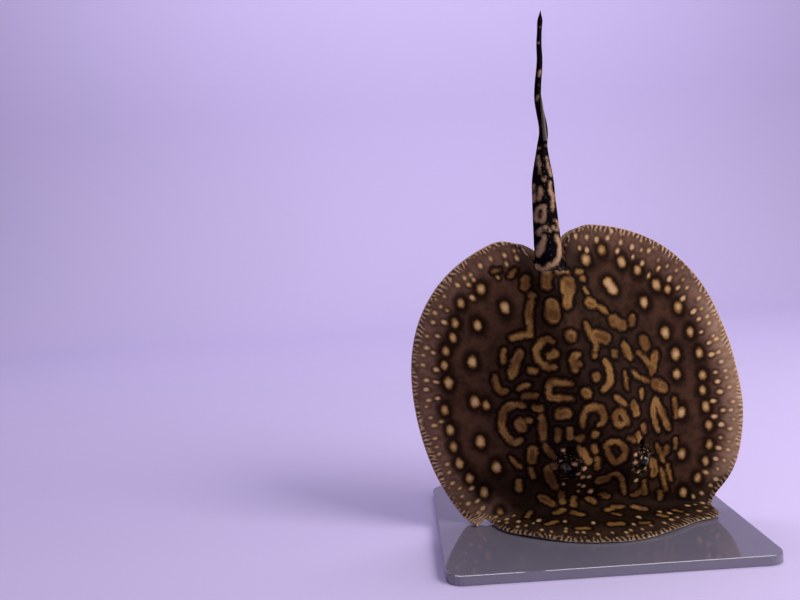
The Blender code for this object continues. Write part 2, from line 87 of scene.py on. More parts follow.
# Thickness of the flat fish.
RIM_THICKNESS = 0.0018
WING_THICKNESS = 0.0155
WING_ROUNDING = 0.8
FRONT_THINNING = 0.42
FRONT_THINNING_BACK = (-0.030, -0.100)
SHOULDER_RISE = 0.025
SHOULDER_BACK = 0.004
SHOULDER_LENGTH_FRONT = 0.046
SHOULDER_LENGTH_REAR = 0.072
SHOULDER_HALF_WIDTH = 0.058
SHOULDER_NARROWING = 0.12
LOIN_RISE = 0.0115
LOIN_BACK = 0.112
LOIN_LENGTH = 0.050
LOIN_HALF_WIDTH = 0.021

# Head, turned a little to its own right.
HEAD_ACROSS = 0.0066
HEAD_BACK = -0.0545
HEAD_TURN = math.radians(-10.0)
HEAD_RISE = 0.013
HEAD_HALF_WIDTH = 0.036
HEAD_LENGTH_FRONT = 0.026
HEAD_LENGTH_REAR = 0.050
KNOB_OUT = 0.0265
KNOB_RISE = 0.0075
KNOB_HALF_WIDTH = 0.0095
KNOB_HALF_LENGTH = 0.0140
EYE_OUT = 0.0345
EYE_SINK = 0.0020
EYE_RADIUS = 0.0062
EYE_CLEARANCE = 0.0003
SPIRACLE_OUT = 0.0325
SPIRACLE_BACK = 0.0150
SPIRACLE_SIZE = (0.0042, 0.0060, 0.0070)
SPIRACLE_TILT = math.radians(30)
MOUTH_BACK = -0.078
MOUTH_SIZE = (0.0135, 0.0013, 0.0024)
NOSTRIL_PLACE = (0.0098, -0.0845)
NOSTRIL_SIZE = (0.0024, 0.0011, 0.0016)
NOSTRIL_SLANT = math.radians(-24)
GILL_PAIRS = 5
GILL_FIRST = (0.036, -0.060)
GILL_LAST = (0.026, -0.018)
GILL_SIZE = (0.0048, 0.0008, 0.0014)
GILL_SLANT = math.radians(18)
VENT_BACK = 0.112
VENT_SIZE = (0.0016, 0.0058, 0.0018)

# Stance: leaning in the upright plane, then bent onto the base.
LEAN = math.radians(9.5)
DISC_MIDDLE_X = 0.0
DISC_MIDDLE_HEIGHT = 0.108
FOLD_MIDDLE_X = 0.010
FOLD_HALF_WIDTH = 0.118
FOLD_RADIUS_MIDDLE = 0.024
FOLD_RADIUS_SIDE = 0.006
BASE_TOP = 0.008
REST_GAP = 0.0003

# Tail: sideways place, distance before the belly plane and height of its middle line.
TAIL_ROUTE = (
    (-0.0155, 0.0105, 0.196),
    (-0.0215, 0.0112, 0.232),
    (-0.0232, 0.0108, 0.268),
    (-0.0238, 0.0092, 0.305),
    (-0.0226, 0.0074, 0.336),
    (-0.0205, 0.0066, 0.354),
    (-0.0238, 0.0058, 0.382),
    (-0.0205, 0.0050, 0.412),
    (-0.0200, 0.0044, 0.430),
    (-0.0172, 0.0038, 0.4565),
)
TAIL_WIDTH_ROOT = 0.0290
TAIL_WIDTH_STING = 0.0200
TAIL_WIDTH_WHIP = 0.0080
TAIL_WIDTH_TIP = 0.0036
TAIL_STING_AT = 0.40
TAIL_WHIP_AT = 0.585
TAIL_FLATNESS_ROOT = 0.74
TAIL_FLATNESS_TIP = 0.98
TIP_SWELLING = 0.0008
TIP_SWELLING_AT = 0.965
TIP_SWELLING_REACH = 0.018
TIP_POINTED = 0.72
STING_AT = 0.565
STING_LENGTH = 0.044
STING_WIDTH = 0.0040
STING_THICKNESS = 0.0016
STING_ASIDE = 0.0014
PELVIC_ACROSS = 0.026
PELVIC_BACK = 0.127
PELVIC_HALF_LENGTH = 0.029
PELVIC_HALF_WIDTH = 0.023
PELVIC_HALF_THICKNESS = 0.0013
PELVIC_LEVEL = -0.0008
PELVIC_SPLAY = math.radians(38.0)

# Fine relief over the blank: height, place and reach of each ridge or furrow.
LID = (0.0011, 0.0074, 0.0013)
LID_FURROW = (-0.0006, 0.0106, 0.0016)
SPIRACLE_RIM = (0.0010, 0.0074, 0.0014)
LIPS = (0.0007, 0.0090, 0.0016)
SPINE_HEIGHT = 0.0007
SPINE_FURROW_DEPTH = 0.0008
GIRDLE_HEIGHT = 0.0005
FIN_RAYS = 118.0
FIN_RAY_HEIGHT = 0.00006
RIPPLE_HEIGHT = 0.0008
RIM_LEVELS = (0.28, 0.72)

# Fineness of the skin's mesh.
DISC_CELLS = 114
TAIL_RINGS_PER_SPAN = 20
TAIL_SIDES = 40
EYE_DETAIL_REACH = 0.0125
MOUTH_DETAIL_ACROSS = 0.024
MOUTH_DETAIL_BACK = (-0.092, -0.070)
CUT_LEVEL = -0.0001
SHARP_JOIN = math.radians(28)
JOINS_INSIDE_PART = 0.93

# Sting and thorns.
STING_TEETH = 26
THORN_PLACES = (0.05, 0.50)
THORN_COUNT = 22
THORN_HEIGHT = 0.0016
THORN_SEED = 7

# Stand.
ROD_RADIUS = 0.004
ROD_SPREAD = 0.034
ROD_MIDDLE_X = -0.008
ROD_DISTANCE = 0.040
ROD_HEIGHT = 0.170
ROD_BEND_RADIUS = 0.022
PAD_RADIUS = 0.011
PAD_THICKNESS = 0.003
PAD_EDGE = 0.0007

# Studio.  A lamp is its name, place, aim, size and colour.
BACKDROP_REACH = 1.5
BACKDROP_CURVE = 0.8
BACKDROP_WALL = 4.0
BACKDROP_HALF_WIDTH = 40.0
BACKDROP_SINK = 0.0002
CAMERA_PLACE = (-0.1566, -0.6775, 0.2735)
CAMERA_PITCH = math.radians(4.6)
CAMERA_ROLL = math.radians(3.8)
CAMERA_LENS = 33.75
LAMPS = (
    ("key", (1.10, -0.85, 1.10), (0.0, 0.0, 0.16), (0.8, 0.8), (1.0, 0.96, 0.92)),
    ("fill", (-1.2, -0.9, 0.8), (0.0, 0.0, 0.2), (0.9, 0.9), (0.86, 0.84, 1.0)),
    ("rim", (1.35, -0.30, 0.45), (0.1, 0.0, 0.12), (0.5, 0.7), (1.0, 0.95, 0.90)),
    ("backdrop", (0.0, 0.9, 2.3), (0.0, 2.2, 0.6), (3.0, 0.8), (0.97, 0.94, 1.0)),
)


# ------------------------------------------------------------------- flat shape

def bell(value, middle, half):
    """A smooth bump of height 1 about its middle."""
    return np.exp(-((value - middle) / half) ** 2)


def outline_radius(angle):
    """Distance from the disc's middle to its margin; angle 0 is the tail side."""
    return (DISC_RADIUS + LENGTHENED * np.cos(2 * angle)
            - REAR_FLATTENED * np.cos(3 * angle)
            - SQUARED * np.cos(4 * angle)
            - ROUNDED * np.cos(5 * angle)
            - SKEWED * np.sin(2 * angle)
            + FLARE * bell(angle, FLARE_ANGLE, FLARE_HALF_ANGLE))


def fold_pinch(angle):
    """How far the margin draws in at the fish's left end of the folded front."""
    return PINCH_DEPTH * bell(angle, PINCH_ANGLE, PINCH_HALF_ANGLE)


def nick_rise(angle):
    """How far up the margin is drawn at the fish's right end of the folded front."""
    return (NICK_DEPTH * bell(angle, NICK_ANGLE, NICK_HALF_ANGLE)
            - LOBE_DEPTH * bell(angle, LOBE_ANGLE, LOBE_HALF_ANGLE))


def nick_margin():
    """The margin on both sides of the nick, as flat points in millimetres."""
    angles = NICK_ANGLE + np.linspace(-0.3, 0.3, 100)
    across = outline_radius(angles) * np.sin(angles) + nick_rise(angles) * math.sin(LEAN)
    back = outline_radius(angles) * np.cos(angles) + nick_rise(angles) * math.cos(LEAN)
    return list(zip(across / MM, back / MM))


def notch_depth(angle):
    """How far the margin draws in, beside the root of the tail and where it folds."""
    return (NOTCH_DEPTH * np.exp(-(angle / NOTCH_HALF_ANGLE) ** 6)
            + NOTCH_SHOULDER * np.exp(-(angle / NOTCH_SHOULDER_HALF_ANGLE) ** 4)
            + fold_pinch(angle))


def disc_place(column, row):
    """Turn places on a square grid (-1 to 1) into across, back and part of the radius."""
    east = column * np.sqrt(1.0 - row * row / 2.0)
    north = row * np.sqrt(1.0 - column * column / 2.0)
    part = np.minimum(1.0, np.hypot(east, north))
    angle = np.arctan2(east, north) + LEAN
    radius = part * (outline_radius(angle) - notch_depth(angle) * part ** NOTCH_INWARD_FADE)
    up = nick_rise(angle) * part ** NICK_INWARD_FADE
    return radius * np.sin(angle) + up * math.sin(LEAN), radius * np.cos(angle) + up * math.cos(LEAN), part


def smooth_step(value, start=0.0, end=1.0):
    value = np.clip((value - start) / (end - start), 0.0, 1.0)
    return value * value * (3.0 - 2.0 * value)


def hump(distance, front, rear):
    """A smooth hump along the body, with its own reach forward and back."""
    return np.exp(-(distance / np.where(distance > 0.0, rear, front)) ** 2)


def plateau(distance, half_width, steepness):
    return np.exp(-(np.abs(distance) / half_width) ** steepness)


def head_place(out, ahead):
    """Flat place of a point given in the turned head's own directions."""
    c, s = math.cos(HEAD_TURN), math.sin(HEAD_TURN)
    return HEAD_ACROSS + out * c - ahead * s, HEAD_BACK + out * s + ahead * c


def in_head(across, back):
    """The same place in the turned head's own directions."""
    c, s = math.cos(HEAD_TURN), math.sin(HEAD_TURN)
    x, y = across - HEAD_ACROSS, back - HEAD_BACK
    return x * c + y * s, y * c - x * s


def body_rise(across, back, part):
    """Height of the upper surface over the belly plane, as the carved blank has it."""
    thinning = 1.0 - FRONT_THINNING * smooth_step(back, *FRONT_THINNING_BACK)
    rise = RIM_THICKNESS + WING_THICKNESS * thinning * (1.0 - part ** 2) ** WING_ROUNDING
    shoulder_half = SHOULDER_HALF_WIDTH - SHOULDER_NARROWING * np.maximum(0.0, back)
    rise += (SHOULDER_RISE * hump(back - SHOULDER_BACK, SHOULDER_LENGTH_FRONT, SHOULDER_LENGTH_REAR)
             * plateau(across, shoulder_half, 2.8))
    rise += (LOIN_RISE * hump(back - LOIN_BACK, LOIN_LENGTH, LOIN_LENGTH)
             * plateau(across, LOIN_HALF_WIDTH, 3.0))
    out, ahead = in_head(across, back)
    rise += (HEAD_RISE * hump(ahead, HEAD_LENGTH_FRONT, HEAD_LENGTH_REAR)
             * plateau(out, HEAD_HALF_WIDTH, 3.5))
    rise += (KNOB_RISE * hump(ahead, KNOB_HALF_LENGTH, KNOB_HALF_LENGTH)
             * hump(np.abs(out) - KNOB_OUT, KNOB_HALF_WIDTH, KNOB_HALF_WIDTH))
    return rise


def fine_relief(across, back, part):
    """Lids, spiracle rims, spine and girdle lines, and fin rays, over the blank."""
    out, ahead = in_head(across, back)
    aside = np.abs(out)
    from_eye = np.hypot(aside - EYE_OUT + 0.0004, ahead)
    from_spiracle = np.hypot((aside - SPIRACLE_OUT) / 0.8, ahead - SPIRACLE_BACK)
    relief = ridge(from_eye, *LID) + ridge(from_eye, *LID_FURROW) + ridge(from_spiracle, *SPIRACLE_RIM)
    relief += SPINE_HEIGHT * plateau(across, 0.0028, 2.0) * smooth_step(back, -0.010, 0.030)
    beside_spine = plateau(np.abs(across) - 0.011, 0.006, 2.0)
    relief -= SPINE_FURROW_DEPTH * beside_spine * smooth_step(back, 0.010, 0.050)
    girdle = np.abs(back - 0.030 - 4.0 * across ** 2)
    relief += GIRDLE_HEIGHT * plateau(girdle, 0.009, 2.0) * plateau(across, 0.046, 4.0)
    rays = np.sin(np.arctan2(across, back) * FIN_RAYS) * smooth_step(part, 0.60, 0.92)
    rays = rays * (1.0 - 0.6 * smooth_step(part, 0.97, 1.0))
    return relief + FIN_RAY_HEIGHT * rays


def ridge(distance, height, place, reach):
    """A rounded ridge at that distance, or a furrow if its height is below 0."""
    return height * bell(distance, place, reach)


def margin_lift(across, back, part):
    """The soft margin is nowhere quite flat: a few slow ripples lift it."""
    angle = np.arctan2(across, back)
    away_from_tail = smooth_step(np.abs(angle), 0.30, 0.60)
    ripple = 1.0 + 0.6 * np.sin(7 * angle + 0.8) + 0.4 * np.sin(17 * angle + 2.1)
    return RIPPLE_HEIGHT * ripple * smooth_step(part, 0.80, 1.0) * away_from_tail


def part_of_radius(across, back):
    return np.minimum(1.0, np.hypot(across, back) / outline_radius(np.arctan2(across, back)))


# ----------------------------------------------------------------------- stance

def fold_radius(x):
    """Bend radius at the base: wide under the head, tight at the margins."""
    q = np.minimum(1.0, np.abs(x - FOLD_MIDDLE_X) / FOLD_HALF_WIDTH)
    return FOLD_RADIUS_SIDE + (FOLD_RADIUS_MIDDLE - FOLD_RADIUS_SIDE) * (1.0 - q * q) ** 2


def stand_up(across, back, rise):
    """Places of flat points on the standing, folded fish, one row each."""
    x = DISC_MIDDLE_X + across * math.cos(LEAN) - back * math.sin(LEAN)
    height = DISC_MIDDLE_HEIGHT + across * math.sin(LEAN) + back * math.cos(LEAN)
    radius = fold_radius(x)
    floor = BASE_TOP + REST_GAP
    turned = np.clip((radius - height) / radius, 0.0, math.pi / 2)
    along = np.maximum(0.0, (radius - height) / radius - math.pi / 2) * radius
    inner = radius - rise
    y = np.where(height >= radius, -rise, -radius + inner * np.cos(turned) - along)
    z = np.where(height >= radius, height, radius - inner * np.sin(turned)) + floor
    return np.stack([x, y, z], axis=-1)


def lie_flat(place):
    """Flat across, back and rise of a point on the upright part of the fish."""
    x = place.x - DISC_MIDDLE_X
    height = place.z - BASE_TOP - REST_GAP - DISC_MIDDLE_HEIGHT
    return Vector((x * math.cos(LEAN) + height * math.sin(LEAN),
                   height * math.cos(LEAN) - x * math.sin(LEAN), -place.y))


def flat_to_upright():
    """Matrix that stands up the unfolded part of the flat fish."""
    origin = Vector(stand_up(np.float64(0.0), np.float64(0.0), np.float64(0.0)))
    across = Vector((math.cos(LEAN), 0.0, math.sin(LEAN)))
    back = Vector((-math.sin(LEAN), 0.0, math.cos(LEAN)))
    rise = Vector((0.0, -1.0, 0.0))
    return placed(origin, across, back, rise)


def placed(origin, *axes):
    """Matrix with those axes, at that origin."""
    return Matrix.Translation(origin) @ Matrix(axes).transposed().to_4x4()


def flat_head_frame(out, ahead, sink):
    """Flat matrix at the head's upper surface, sunk in by the given depth."""
    across, back = head_place(out, ahead)
    rise = float(body_rise(across, back, part_of_radius(across, back))) - sink
    return Matrix.Translation((across, back, rise)) @ Matrix.Rotation(HEAD_TURN, 4, "Z")


def smooth_route(points, spans):
    """Catmull-Rom curve through the points, with a few steps in each span."""
    knots = [Vector(p) for p in points]
    ends = [2 * knots[0] - knots[1], *knots, 2 * knots[-1] - knots[-2]]
    route = []
    for i in range(1, len(ends) - 2):
        p0, p1, p2, p3 = ends[i - 1:i + 3]
        for k in range(spans):
            t = k / spans
            route.append(0.5 * (2 * p1 + (p2 - p0) * t + (2 * p0 - 5 * p1 + 4 * p2 - p3) * t * t
                                + (3 * p1 - p0 - 3 * p2 + p3) * t ** 3))
    route.append(knots[-1])
    return route


def tail_line():
    points = [(x, -before, BASE_TOP + REST_GAP + height) for x, before, height in TAIL_ROUTE]
    return smooth_route(points, TAIL_RINGS_PER_SPAN)


def tail_size(part):
    """Width and thickness of the tail at a part of its length."""
    if part < TAIL_STING_AT:
        width = TAIL_WIDTH_ROOT + (TAIL_WIDTH_STING - TAIL_WIDTH_ROOT) * part / TAIL_STING_AT
    elif part < TAIL_WHIP_AT:
        t = (part - TAIL_STING_AT) / (TAIL_WHIP_AT - TAIL_STING_AT)
        width = TAIL_WIDTH_STING + (TAIL_WIDTH_WHIP - TAIL_WIDTH_STING) * t * t * (3 - 2 * t)
    else:
        t = (part - TAIL_WHIP_AT) / (1.0 - TAIL_WHIP_AT)
        width = TAIL_WIDTH_WHIP + (TAIL_WIDTH_TIP - TAIL_WIDTH_WHIP) * t ** 0.8
    width += TIP_SWELLING * math.exp(-((part - TIP_SWELLING_AT) / TIP_SWELLING_REACH) ** 2)
    width *= 1.0 - TIP_POINTED * float(smooth_step(part, TIP_SWELLING_AT, 1.0))
    flatness = TAIL_FLATNESS_ROOT + (TAIL_FLATNESS_TIP - TAIL_FLATNESS_ROOT) * part
    return width, width * flatness


def lengths_along(route):
    total = [0.0]
    for before, after in zip(route, route[1:]):
        total.append(total[-1] + (after - before).length)
    return [value / total[-1] for value in total]


def ring_at(parts, part):
    """Number of the ring nearest to a part of the tail's length."""
    return min(range(len(parts)), key=lambda i: abs(parts[i] - part))


def ring_frame(route, index):
    """Directions of one ring of the tail: side to +X, up out of the fish's back."""
    ahead = (route[min(index + 1, len(route) - 1)] - route[max(index - 1, 0)]).normalized()
    side = ahead.cross(Vector((0.0, 1.0, 0.0))).normalized() * -1.0
    if side.x < 0.0:
        side.negate()
    up = side.cross(ahead).normalized()
    if up.y > 0.0:
        up.negate()
    return side, up


# ---------------------------------------------------------------- mesh helpers

def object_from(bm, name, finish=None, crease=math.radians(50)):
    """Store a bmesh as a smooth object at the origin, with outward faces."""
    bmesh.ops.recalc_face_normals(bm, faces=bm.faces[:])
    mesh = bpy.data.meshes.new(name)
    bm.to_mesh(mesh)
    bm.free()
    mesh.shade_smooth()
    mesh.set_sharp_from_angle(angle=crease)
    if finish:
        mesh.materials.append(finish)
    made = bpy.data.objects.new(name, mesh)
    bpy.context.scene.collection.objects.link(made)
    return made


def on_the_fish(made, slot, *nodes):
    """Let a finished piece ride on the body and stand for its CAD nodes."""
    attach(made, "root")
    if nodes:
        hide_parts(*nodes)


def combined(target, others, operation):
    """Apply closed-shell Booleans and give the target the resulting mesh."""
    for other in others:
        change = target.modifiers.new("combine", "BOOLEAN")
        change.operation = operation
        change.solver = "MANIFOLD"
        change.object = other
    bpy.context.view_layer.update()
    graph = bpy.context.evaluated_depsgraph_get()
    result = bpy.data.meshes.new_from_object(target.evaluated_get(graph))
    target.modifiers.clear()
    target.data = result
    for other in others:
        bpy.data.objects.remove(other, do_unlink=True)
    return target


def lens(size, place, name, segments=48, rings=24):
    """An ellipsoid with the given half sizes, set at a place's own axes."""
    bm = bmesh.new()
    bmesh.ops.create_uvsphere(bm, u_segments=segments, v_segments=rings, radius=1.0,
                              matrix=place @ Matrix.Diagonal((*size, 1.0)))
    return object_from(bm, name)


def extruded(bm, edges):
    """Extrude edges; gives back the new vertices and the new open edges."""
    grown = bmesh.ops.extrude_edge_only(bm, edges=edges)["geom"]
    verts = [item for item in grown if isinstance(item, bmesh.types.BMVert)]
    edges = [item for item in grown if isinstance(item, bmesh.types.BMEdge)]
    return verts, [edge for edge in edges if len(edge.link_faces) == 1]


def grow_rings(bm, sides, count):
    """Extrude a circle into a tube of that many rings, closed at both ends.

    Gives back the rings and the unit circle that each one repeats.
    """
    ring = bmesh.ops.create_circle(bm, cap_ends=False, segments=sides, radius=1.0)["verts"]
    shape = [vert.co.copy() for vert in ring]
    rings = [list(ring)]
    edges = bm.edges[:]
    for _ in range(count - 1):
        verts, edges = extruded(bm, edges)
        rings.append(verts)
    bmesh.ops.contextual_create(bm, geom=rings[0])
    bmesh.ops.contextual_create(bm, geom=rings[-1])
    return rings, shape


def store(mesh, name, rows, kind="FLOAT", field="value"):
    """Keep a value or a vector on each point of a mesh."""
    layer = mesh.attributes.new(name, kind, "POINT")
    layer.data.foreach_set(field, np.ascontiguousarray(rows, dtype=np.float32).ravel())


# ---------------------------------------------------------------- marks of the coat
# Every stroke is its width, then the places it runs through: across and back, in
# millimetres on the flat plan.  A stroke with one place is a dot.

MIDLINE_STROKES = (
    (7, (-7, 120), (-9, 112)), (3, (2, 121), (12, 119)), (11, (9, 109), (8, 104)),
    (7, (7, 102), (4, 92)), (10, (-9, 94), (-11, 84)), (8.6, (0, 65)), (3.5, (16, 44)),
    (4.4, (16, 72), (18, 59), (20, 52)), (8, (22, 61), (30, 55)), (2.6, (18, 52), (18, 49)),
    (4.4, (-16, 64), (-21, 67), (-29, 63), (-32, 56), (-31, 48), (-25, 42), (-20, 42)),
    (6, (-21, 52), (-17, 53)), (4.4, (3, 48), (-3, 49), (-4, 42), (-4, 35)), (3.5, (-4, 42), (1, 41)),
    (4.8, (23, 38), (26, 32), (25, 23), (21, 18), (15, 15)), (6.2, (12, 27)),
    (4.4, (-10, 26), (-19, 29), (-28, 31), (-30, 23), (-31, 17), (-22, 16), (-13, 14)), (8, (0, 16)),
    (4.4, (-9, -12), (-8, -4), (-4, 2), (2, 4), (9, 2), (10, -5), (9, -12), (4, -13)),
    (8, (-25, 2), (-20, 2)), (4, (-29, -12), (-31, -22)), (4, (-20, -13), (-21, -21)),
    (4.4, (-15, -22), (-12, -22)), (6.2, (0, -21)),
)
LEFT_BACK_STROKES = (
    (2.6, (20, 117), (25, 116)), (3.4, (24, 110), (25, 109)), (2.6, (24, 101), (25, 97)),
    (7, (24, 89), (27, 86)),
    (3.5, (27, 86), (33, 83), (38, 76)), (8, (42, 68), (48, 62)), (4, (60, 66), (58, 60)),
    (5.3, (34, 41)), (5.7, (46, 47), (46, 41), (48, 33)), (2.6, (39, 23), (37, 10)),
    (6.2, (65, 45), (66, 38)), (3.5, (57, 35), (63, 26), (65, 20)), (6.2, (74, 30), (70, 23), (65, 14)),
    (3.1, (46, 22), (52, 14), (60, 8)), (3.5, (51, 3), (50, -2)), (8, (67, 4), (73, -2)),
    (3.5, (24, 7), (27, 3), (32, -2)), (5.3, (39, -5), (41, -14)),
    (4.4, (31, -20), (28, -9), (23, -5), (19, -10), (21, -20), (28, -18)),
    (4.4, (63, -9), (58, -18), (59, -32), (61, -39)), (4.4, (63, -9), (67, -19), (69, -32), (71, -41)),
    (3.5, (46, -27), (47, -35)), (4, (39, -33), (40, -40)), (2.6, (29, -33), (34, -38)),
    (3.5, (82, -15), (81, -31)),
)
RIGHT_BACK_STROKES = (
    (3, (-50, 134), (-46, 133)), (3.4, (-37, 126), (-32, 130)), (5.5, (-24, 121), (-27, 114)),
    (5.3, (-23, 106)),
    (4.4, (-24, 102), (-28, 94), (-31, 85), (-32, 75)), (4.4, (-33, 73), (-48, 73)),
    (4, (-58, 63), (-61, 54)), (6.2, (-45, 60), (-51, 50), (-57, 40)),
    (4.4, (-71, 42), (-71, 33), (-69, 27), (-64, 28)), (3.5, (-44, 31), (-50, 30), (-54, 28)),
    (4.4, (-40, 43), (-37, 42)), (3.5, (-50, 21), (-41, 21)), (4.4, (-44, 10), (-39, 9)),
    (5.3, (-53, 13), (-63, 16), (-71, 10), (-75, -1), (-73, -12), (-68, -21), (-61, -18)),
    (8, (-58, -6), (-59, -2)), (4.4, (-51, -1)), (5.3, (-40, 2), (-41, -9), (-43, -20)),
    (7, (-53, -29), (-55, -39)), (4.4, (-42, -24), (-40, -33), (-36, -38)),
    (3.5, (-73, -33), (-70, -39), (-66, -45)), (3.5, (-58, -48), (-57, -56)), (4.4, (-70, -58), (-72, -66)),
)
HEAD_STROKES = (
    (6.2, (-43, -49), (-43, -60), (-39, -71)), (3.5, (-38, -47), (-37, -50)),
    (7, (-54, -78), (-49, -83), (-45, -92)), (4.4, (-25, -85), (-27, -97)), (4.4, (-35, -78), (-36, -91)),
    (5.3, (-13, -91), (-9, -98)), (4.4, (-9, -81)), (5.7, (-15, -31), (-12, -38), (-8, -47)),
    (4.4, (-3, -32), (-2, -38)), (4, (-1, -45), (-2, -55)),
    (4.4, (7, -33), (17, -31), (24, -40), (25, -46), (20, -52), (14, -55), (9, -43), (7, -33)),
    (7, (-1, -70), (5, -70)), (3.5, (6, -68), (12, -64), (18, -69), (21, -80), (21, -94)),
    (6.2, (1, -88), (4, -93)), (4.8, (29, -97), (35, -95)), (3.5, (41, -85), (40, -97)),
    (3.1, (58, -52), (61, -62), (62, -71)), (3.1, (59, -76), (59, -88), (60, -98)),
    (2.6, (65, -75), (66, -90)), (3.5, (67, -57), (66, -63)), (6.2, (51, -65), (53, -75), (50, -81)),
    (3.5, (54, -99), (52, -108)), (2.6, (76, -52), (75, -61)),
)
FOLDED_FRONT_STROKES = (
    (4.4, (-46, -104), (-38, -101)), (5.3, (-31, -108), (-25, -113)), (4.4, (-60, -122), (-51, -120)),
    (4.4, (-38, -138), (-31, -140)), (5.7, (-8, -138), (1, -140)), (4.4, (6, -109), (14, -111)),
    (3.5, (-1, -112), (5, -112)), (3.5, (3, -120), (7, -124)), (5.3, (25, -114), (33, -120)),
    (4.4, (40, -135), (44, -140)), (3.1, (57, -130), (62, -136)), (4, (17, -144), (23, -146)),
    (3.5, (-67, -95), (-72, -103)),
)
BODY_STROKES = (*MIDLINE_STROKES, *LEFT_BACK_STROKES, *RIGHT_BACK_STROKES,
                *HEAD_STROKES, *FOLDED_FRONT_STROKES)
# Strokes of the tail: sideways place and height over the base, in millimetres.
TAIL_STROKES = (
    (4.6, (-27, 259), (-29, 252), (-32, 244)),
    (4.2, (-17, 260), (-13, 253), (-13, 245), (-16, 238), (-21, 234)),
    (3.2, (-35, 235), (-32, 231), (-28, 231), (-24, 235), (-20, 234)), (1.4, (-9, 254), (-8, 245), (-8, 237)),
    (2.8, (-32, 261), (-30, 266), (-27, 268), (-22, 264)),
    (2.4, (-17, 273), (-13, 272), (-12, 267), (-16, 264), (-19, 267)),
    (3, (-26, 287), (-32, 284), (-33, 276), (-29, 272), (-25, 277), (-26, 287)),
    (2.6, (-18, 307), (-20, 299), (-17, 294), (-17, 288), (-18, 281)),
    (2.2, (-18, 296), (-14, 294), (-13, 288)),
    (3.4, (-28, 303), (-28, 297), (-29, 292)), (2.2, (-33, 305), (-34, 301)), (2.2, (-33, 296), (-34, 291)),
    (3, (-24, 310), (-24, 309)), (1.5, (-27, 330), (-27, 316)), (2, (-20, 328), (-18.5, 319), (-17, 311)),
    (1.4, (-27, 337), (-26, 337)), (1.4, (-19, 339)),
    (0.9, (-22, 356)), (0.8, (-21, 370), (-20, 362)), (1.1, (-24, 382), (-25, 379)), (0.6, (-23, 392)),
    (0.8, (-21, 404), (-22, 400)), (0.6, (-21, 428)), (0.6, (-19, 442)),
)
# Eyespots of the wings: across, back and radius of the cream heart, in millimetres.
RIGHT_EYESPOTS = (
    (-65, 121, 2.6), (-48, 100, 2.8), (-75, 90, 2.6), (-94, 96, 2.0), (-85, 112, 1.8), (-99, 84, 1.9),
    (-87, 59, 3.0), (-108, 74, 2.0), (-112, 61, 2.0), (-112, 45, 2.7), (-93, 23, 2.8), (-84, 18, 2.0),
    (-121, 21, 2.2), (-120, 2, 2.4), (-96, -14, 3.0), (-121, -14, 2.2), (-87, -40, 2.9), (-119, -30, 2.5),
    (-113, -46, 2.1), (-103, -62, 2.6), (-93, -85, 2.0),
)
LEFT_EYESPOTS = (
    (32, 125, 2.9), (48, 130, 2.3), (63, 116, 2.8), (75, 105, 2.2), (89, 88, 2.8), (98, 82, 1.8),
    (74, 76, 2.7), (104, 64, 2.3), (87, 45, 2.7), (110, 40, 2.2), (92, 24, 2.9), (89, 6, 2.4),
    (114, 19, 2.3), (113, -1, 2.3), (110, -15, 2.0), (110, -30, 2.3), (86, -29, 2.7), (110, -48, 2.3),
    (107, -66, 2.1), (80, -68, 2.7), (101, -81, 2.0), (91, -95, 2.1), (75, -105, 2.3),
)
LARGE_EYESPOT = ((46, 101), (49, 93), 3.1)
# Pale dots round the eyes, in the same measures.
EYE_RING_DOTS = (
    (-22, -45, 1.9), (-14, -51, 2.1), (-20, -56, 2.0), (-16, -61, 2.4), (-10, -63, 1.9), (-19, -70, 1.4),
    (-15, -73, 1.9), (-20, -78, 1.5), (-9, -81, 2.2), (-28, -32, 1.9), (-31, -43, 1.5), (-32, -68, 1.5),
    (31, -57, 2.0), (35, -70, 2.2), (39, -56, 1.7), (43, -71, 1.3), (33, -80, 2.1), (33, -50, 1.5),
    (29, -64, 1.3),
)
# Rows of dots inside the margin: distance in, spacing and radius.
SPECK_ROWS = ((3.6, 9.0, 0.8), (12.0, 9.6, 1.5), (21.0, 12.5, 1.6), (31.0, 22.0, 1.7))
SPECK_SCATTER = 4.5
SPECK_SEED = 31
SPECK_LENGTHENED = 1.5
SPECK_OFF_EYESPOT = 8.0
SPECK_OFF_STROKE = 1.8
SPECK_OFF_TAIL = 0.16
EYESPOT_LENGTHENED = 1.35
BAR_PITCH = 4.2
STROKE_SPREAD = 1.12
STROKE_TAPER = 0.4
# Distance that stands for "no mark near".
FAR_OFF = 60.0


def from_polyline(across, back, points):
    """Distance in millimetres from each flat place to a line, and how far along it is."""
    nearest = np.full(across.shape, 1000.0)
    along = np.zeros(across.shape)
    pairs = list(zip(points, points[1:])) or [(points[0], points[0])]
    for number, ((x0, y0), (x1, y1)) in enumerate(pairs):
        dx, dy = x1 - x0, y1 - y0
        t = np.clip(((across - x0) * dx + (back - y0) * dy) / ((dx * dx + dy * dy) or 1.0), 0.0, 1.0)
        distance = np.hypot(across - x0 - t * dx, back - y0 - t * dy)
        along = np.where(distance < nearest, (number + t) / len(pairs), along)
        nearest = np.minimum(nearest, distance)
    return nearest, along


def rounded_off(points, rounds=2):
    """Cut the corners of a line a few times, so that a stroke bends softly."""
    for _ in range(rounds):
        if len(points) < 3:
            return points
        softer = [points[0]]
        for (x0, y0), (x1, y1) in zip(points, points[1:]):
            softer.append((0.75 * x0 + 0.25 * x1, 0.75 * y0 + 0.25 * y1))
            softer.append((0.25 * x0 + 0.75 * x1, 0.25 * y0 + 0.75 * y1))
        softer.append(points[-1])
        points = softer
    return points


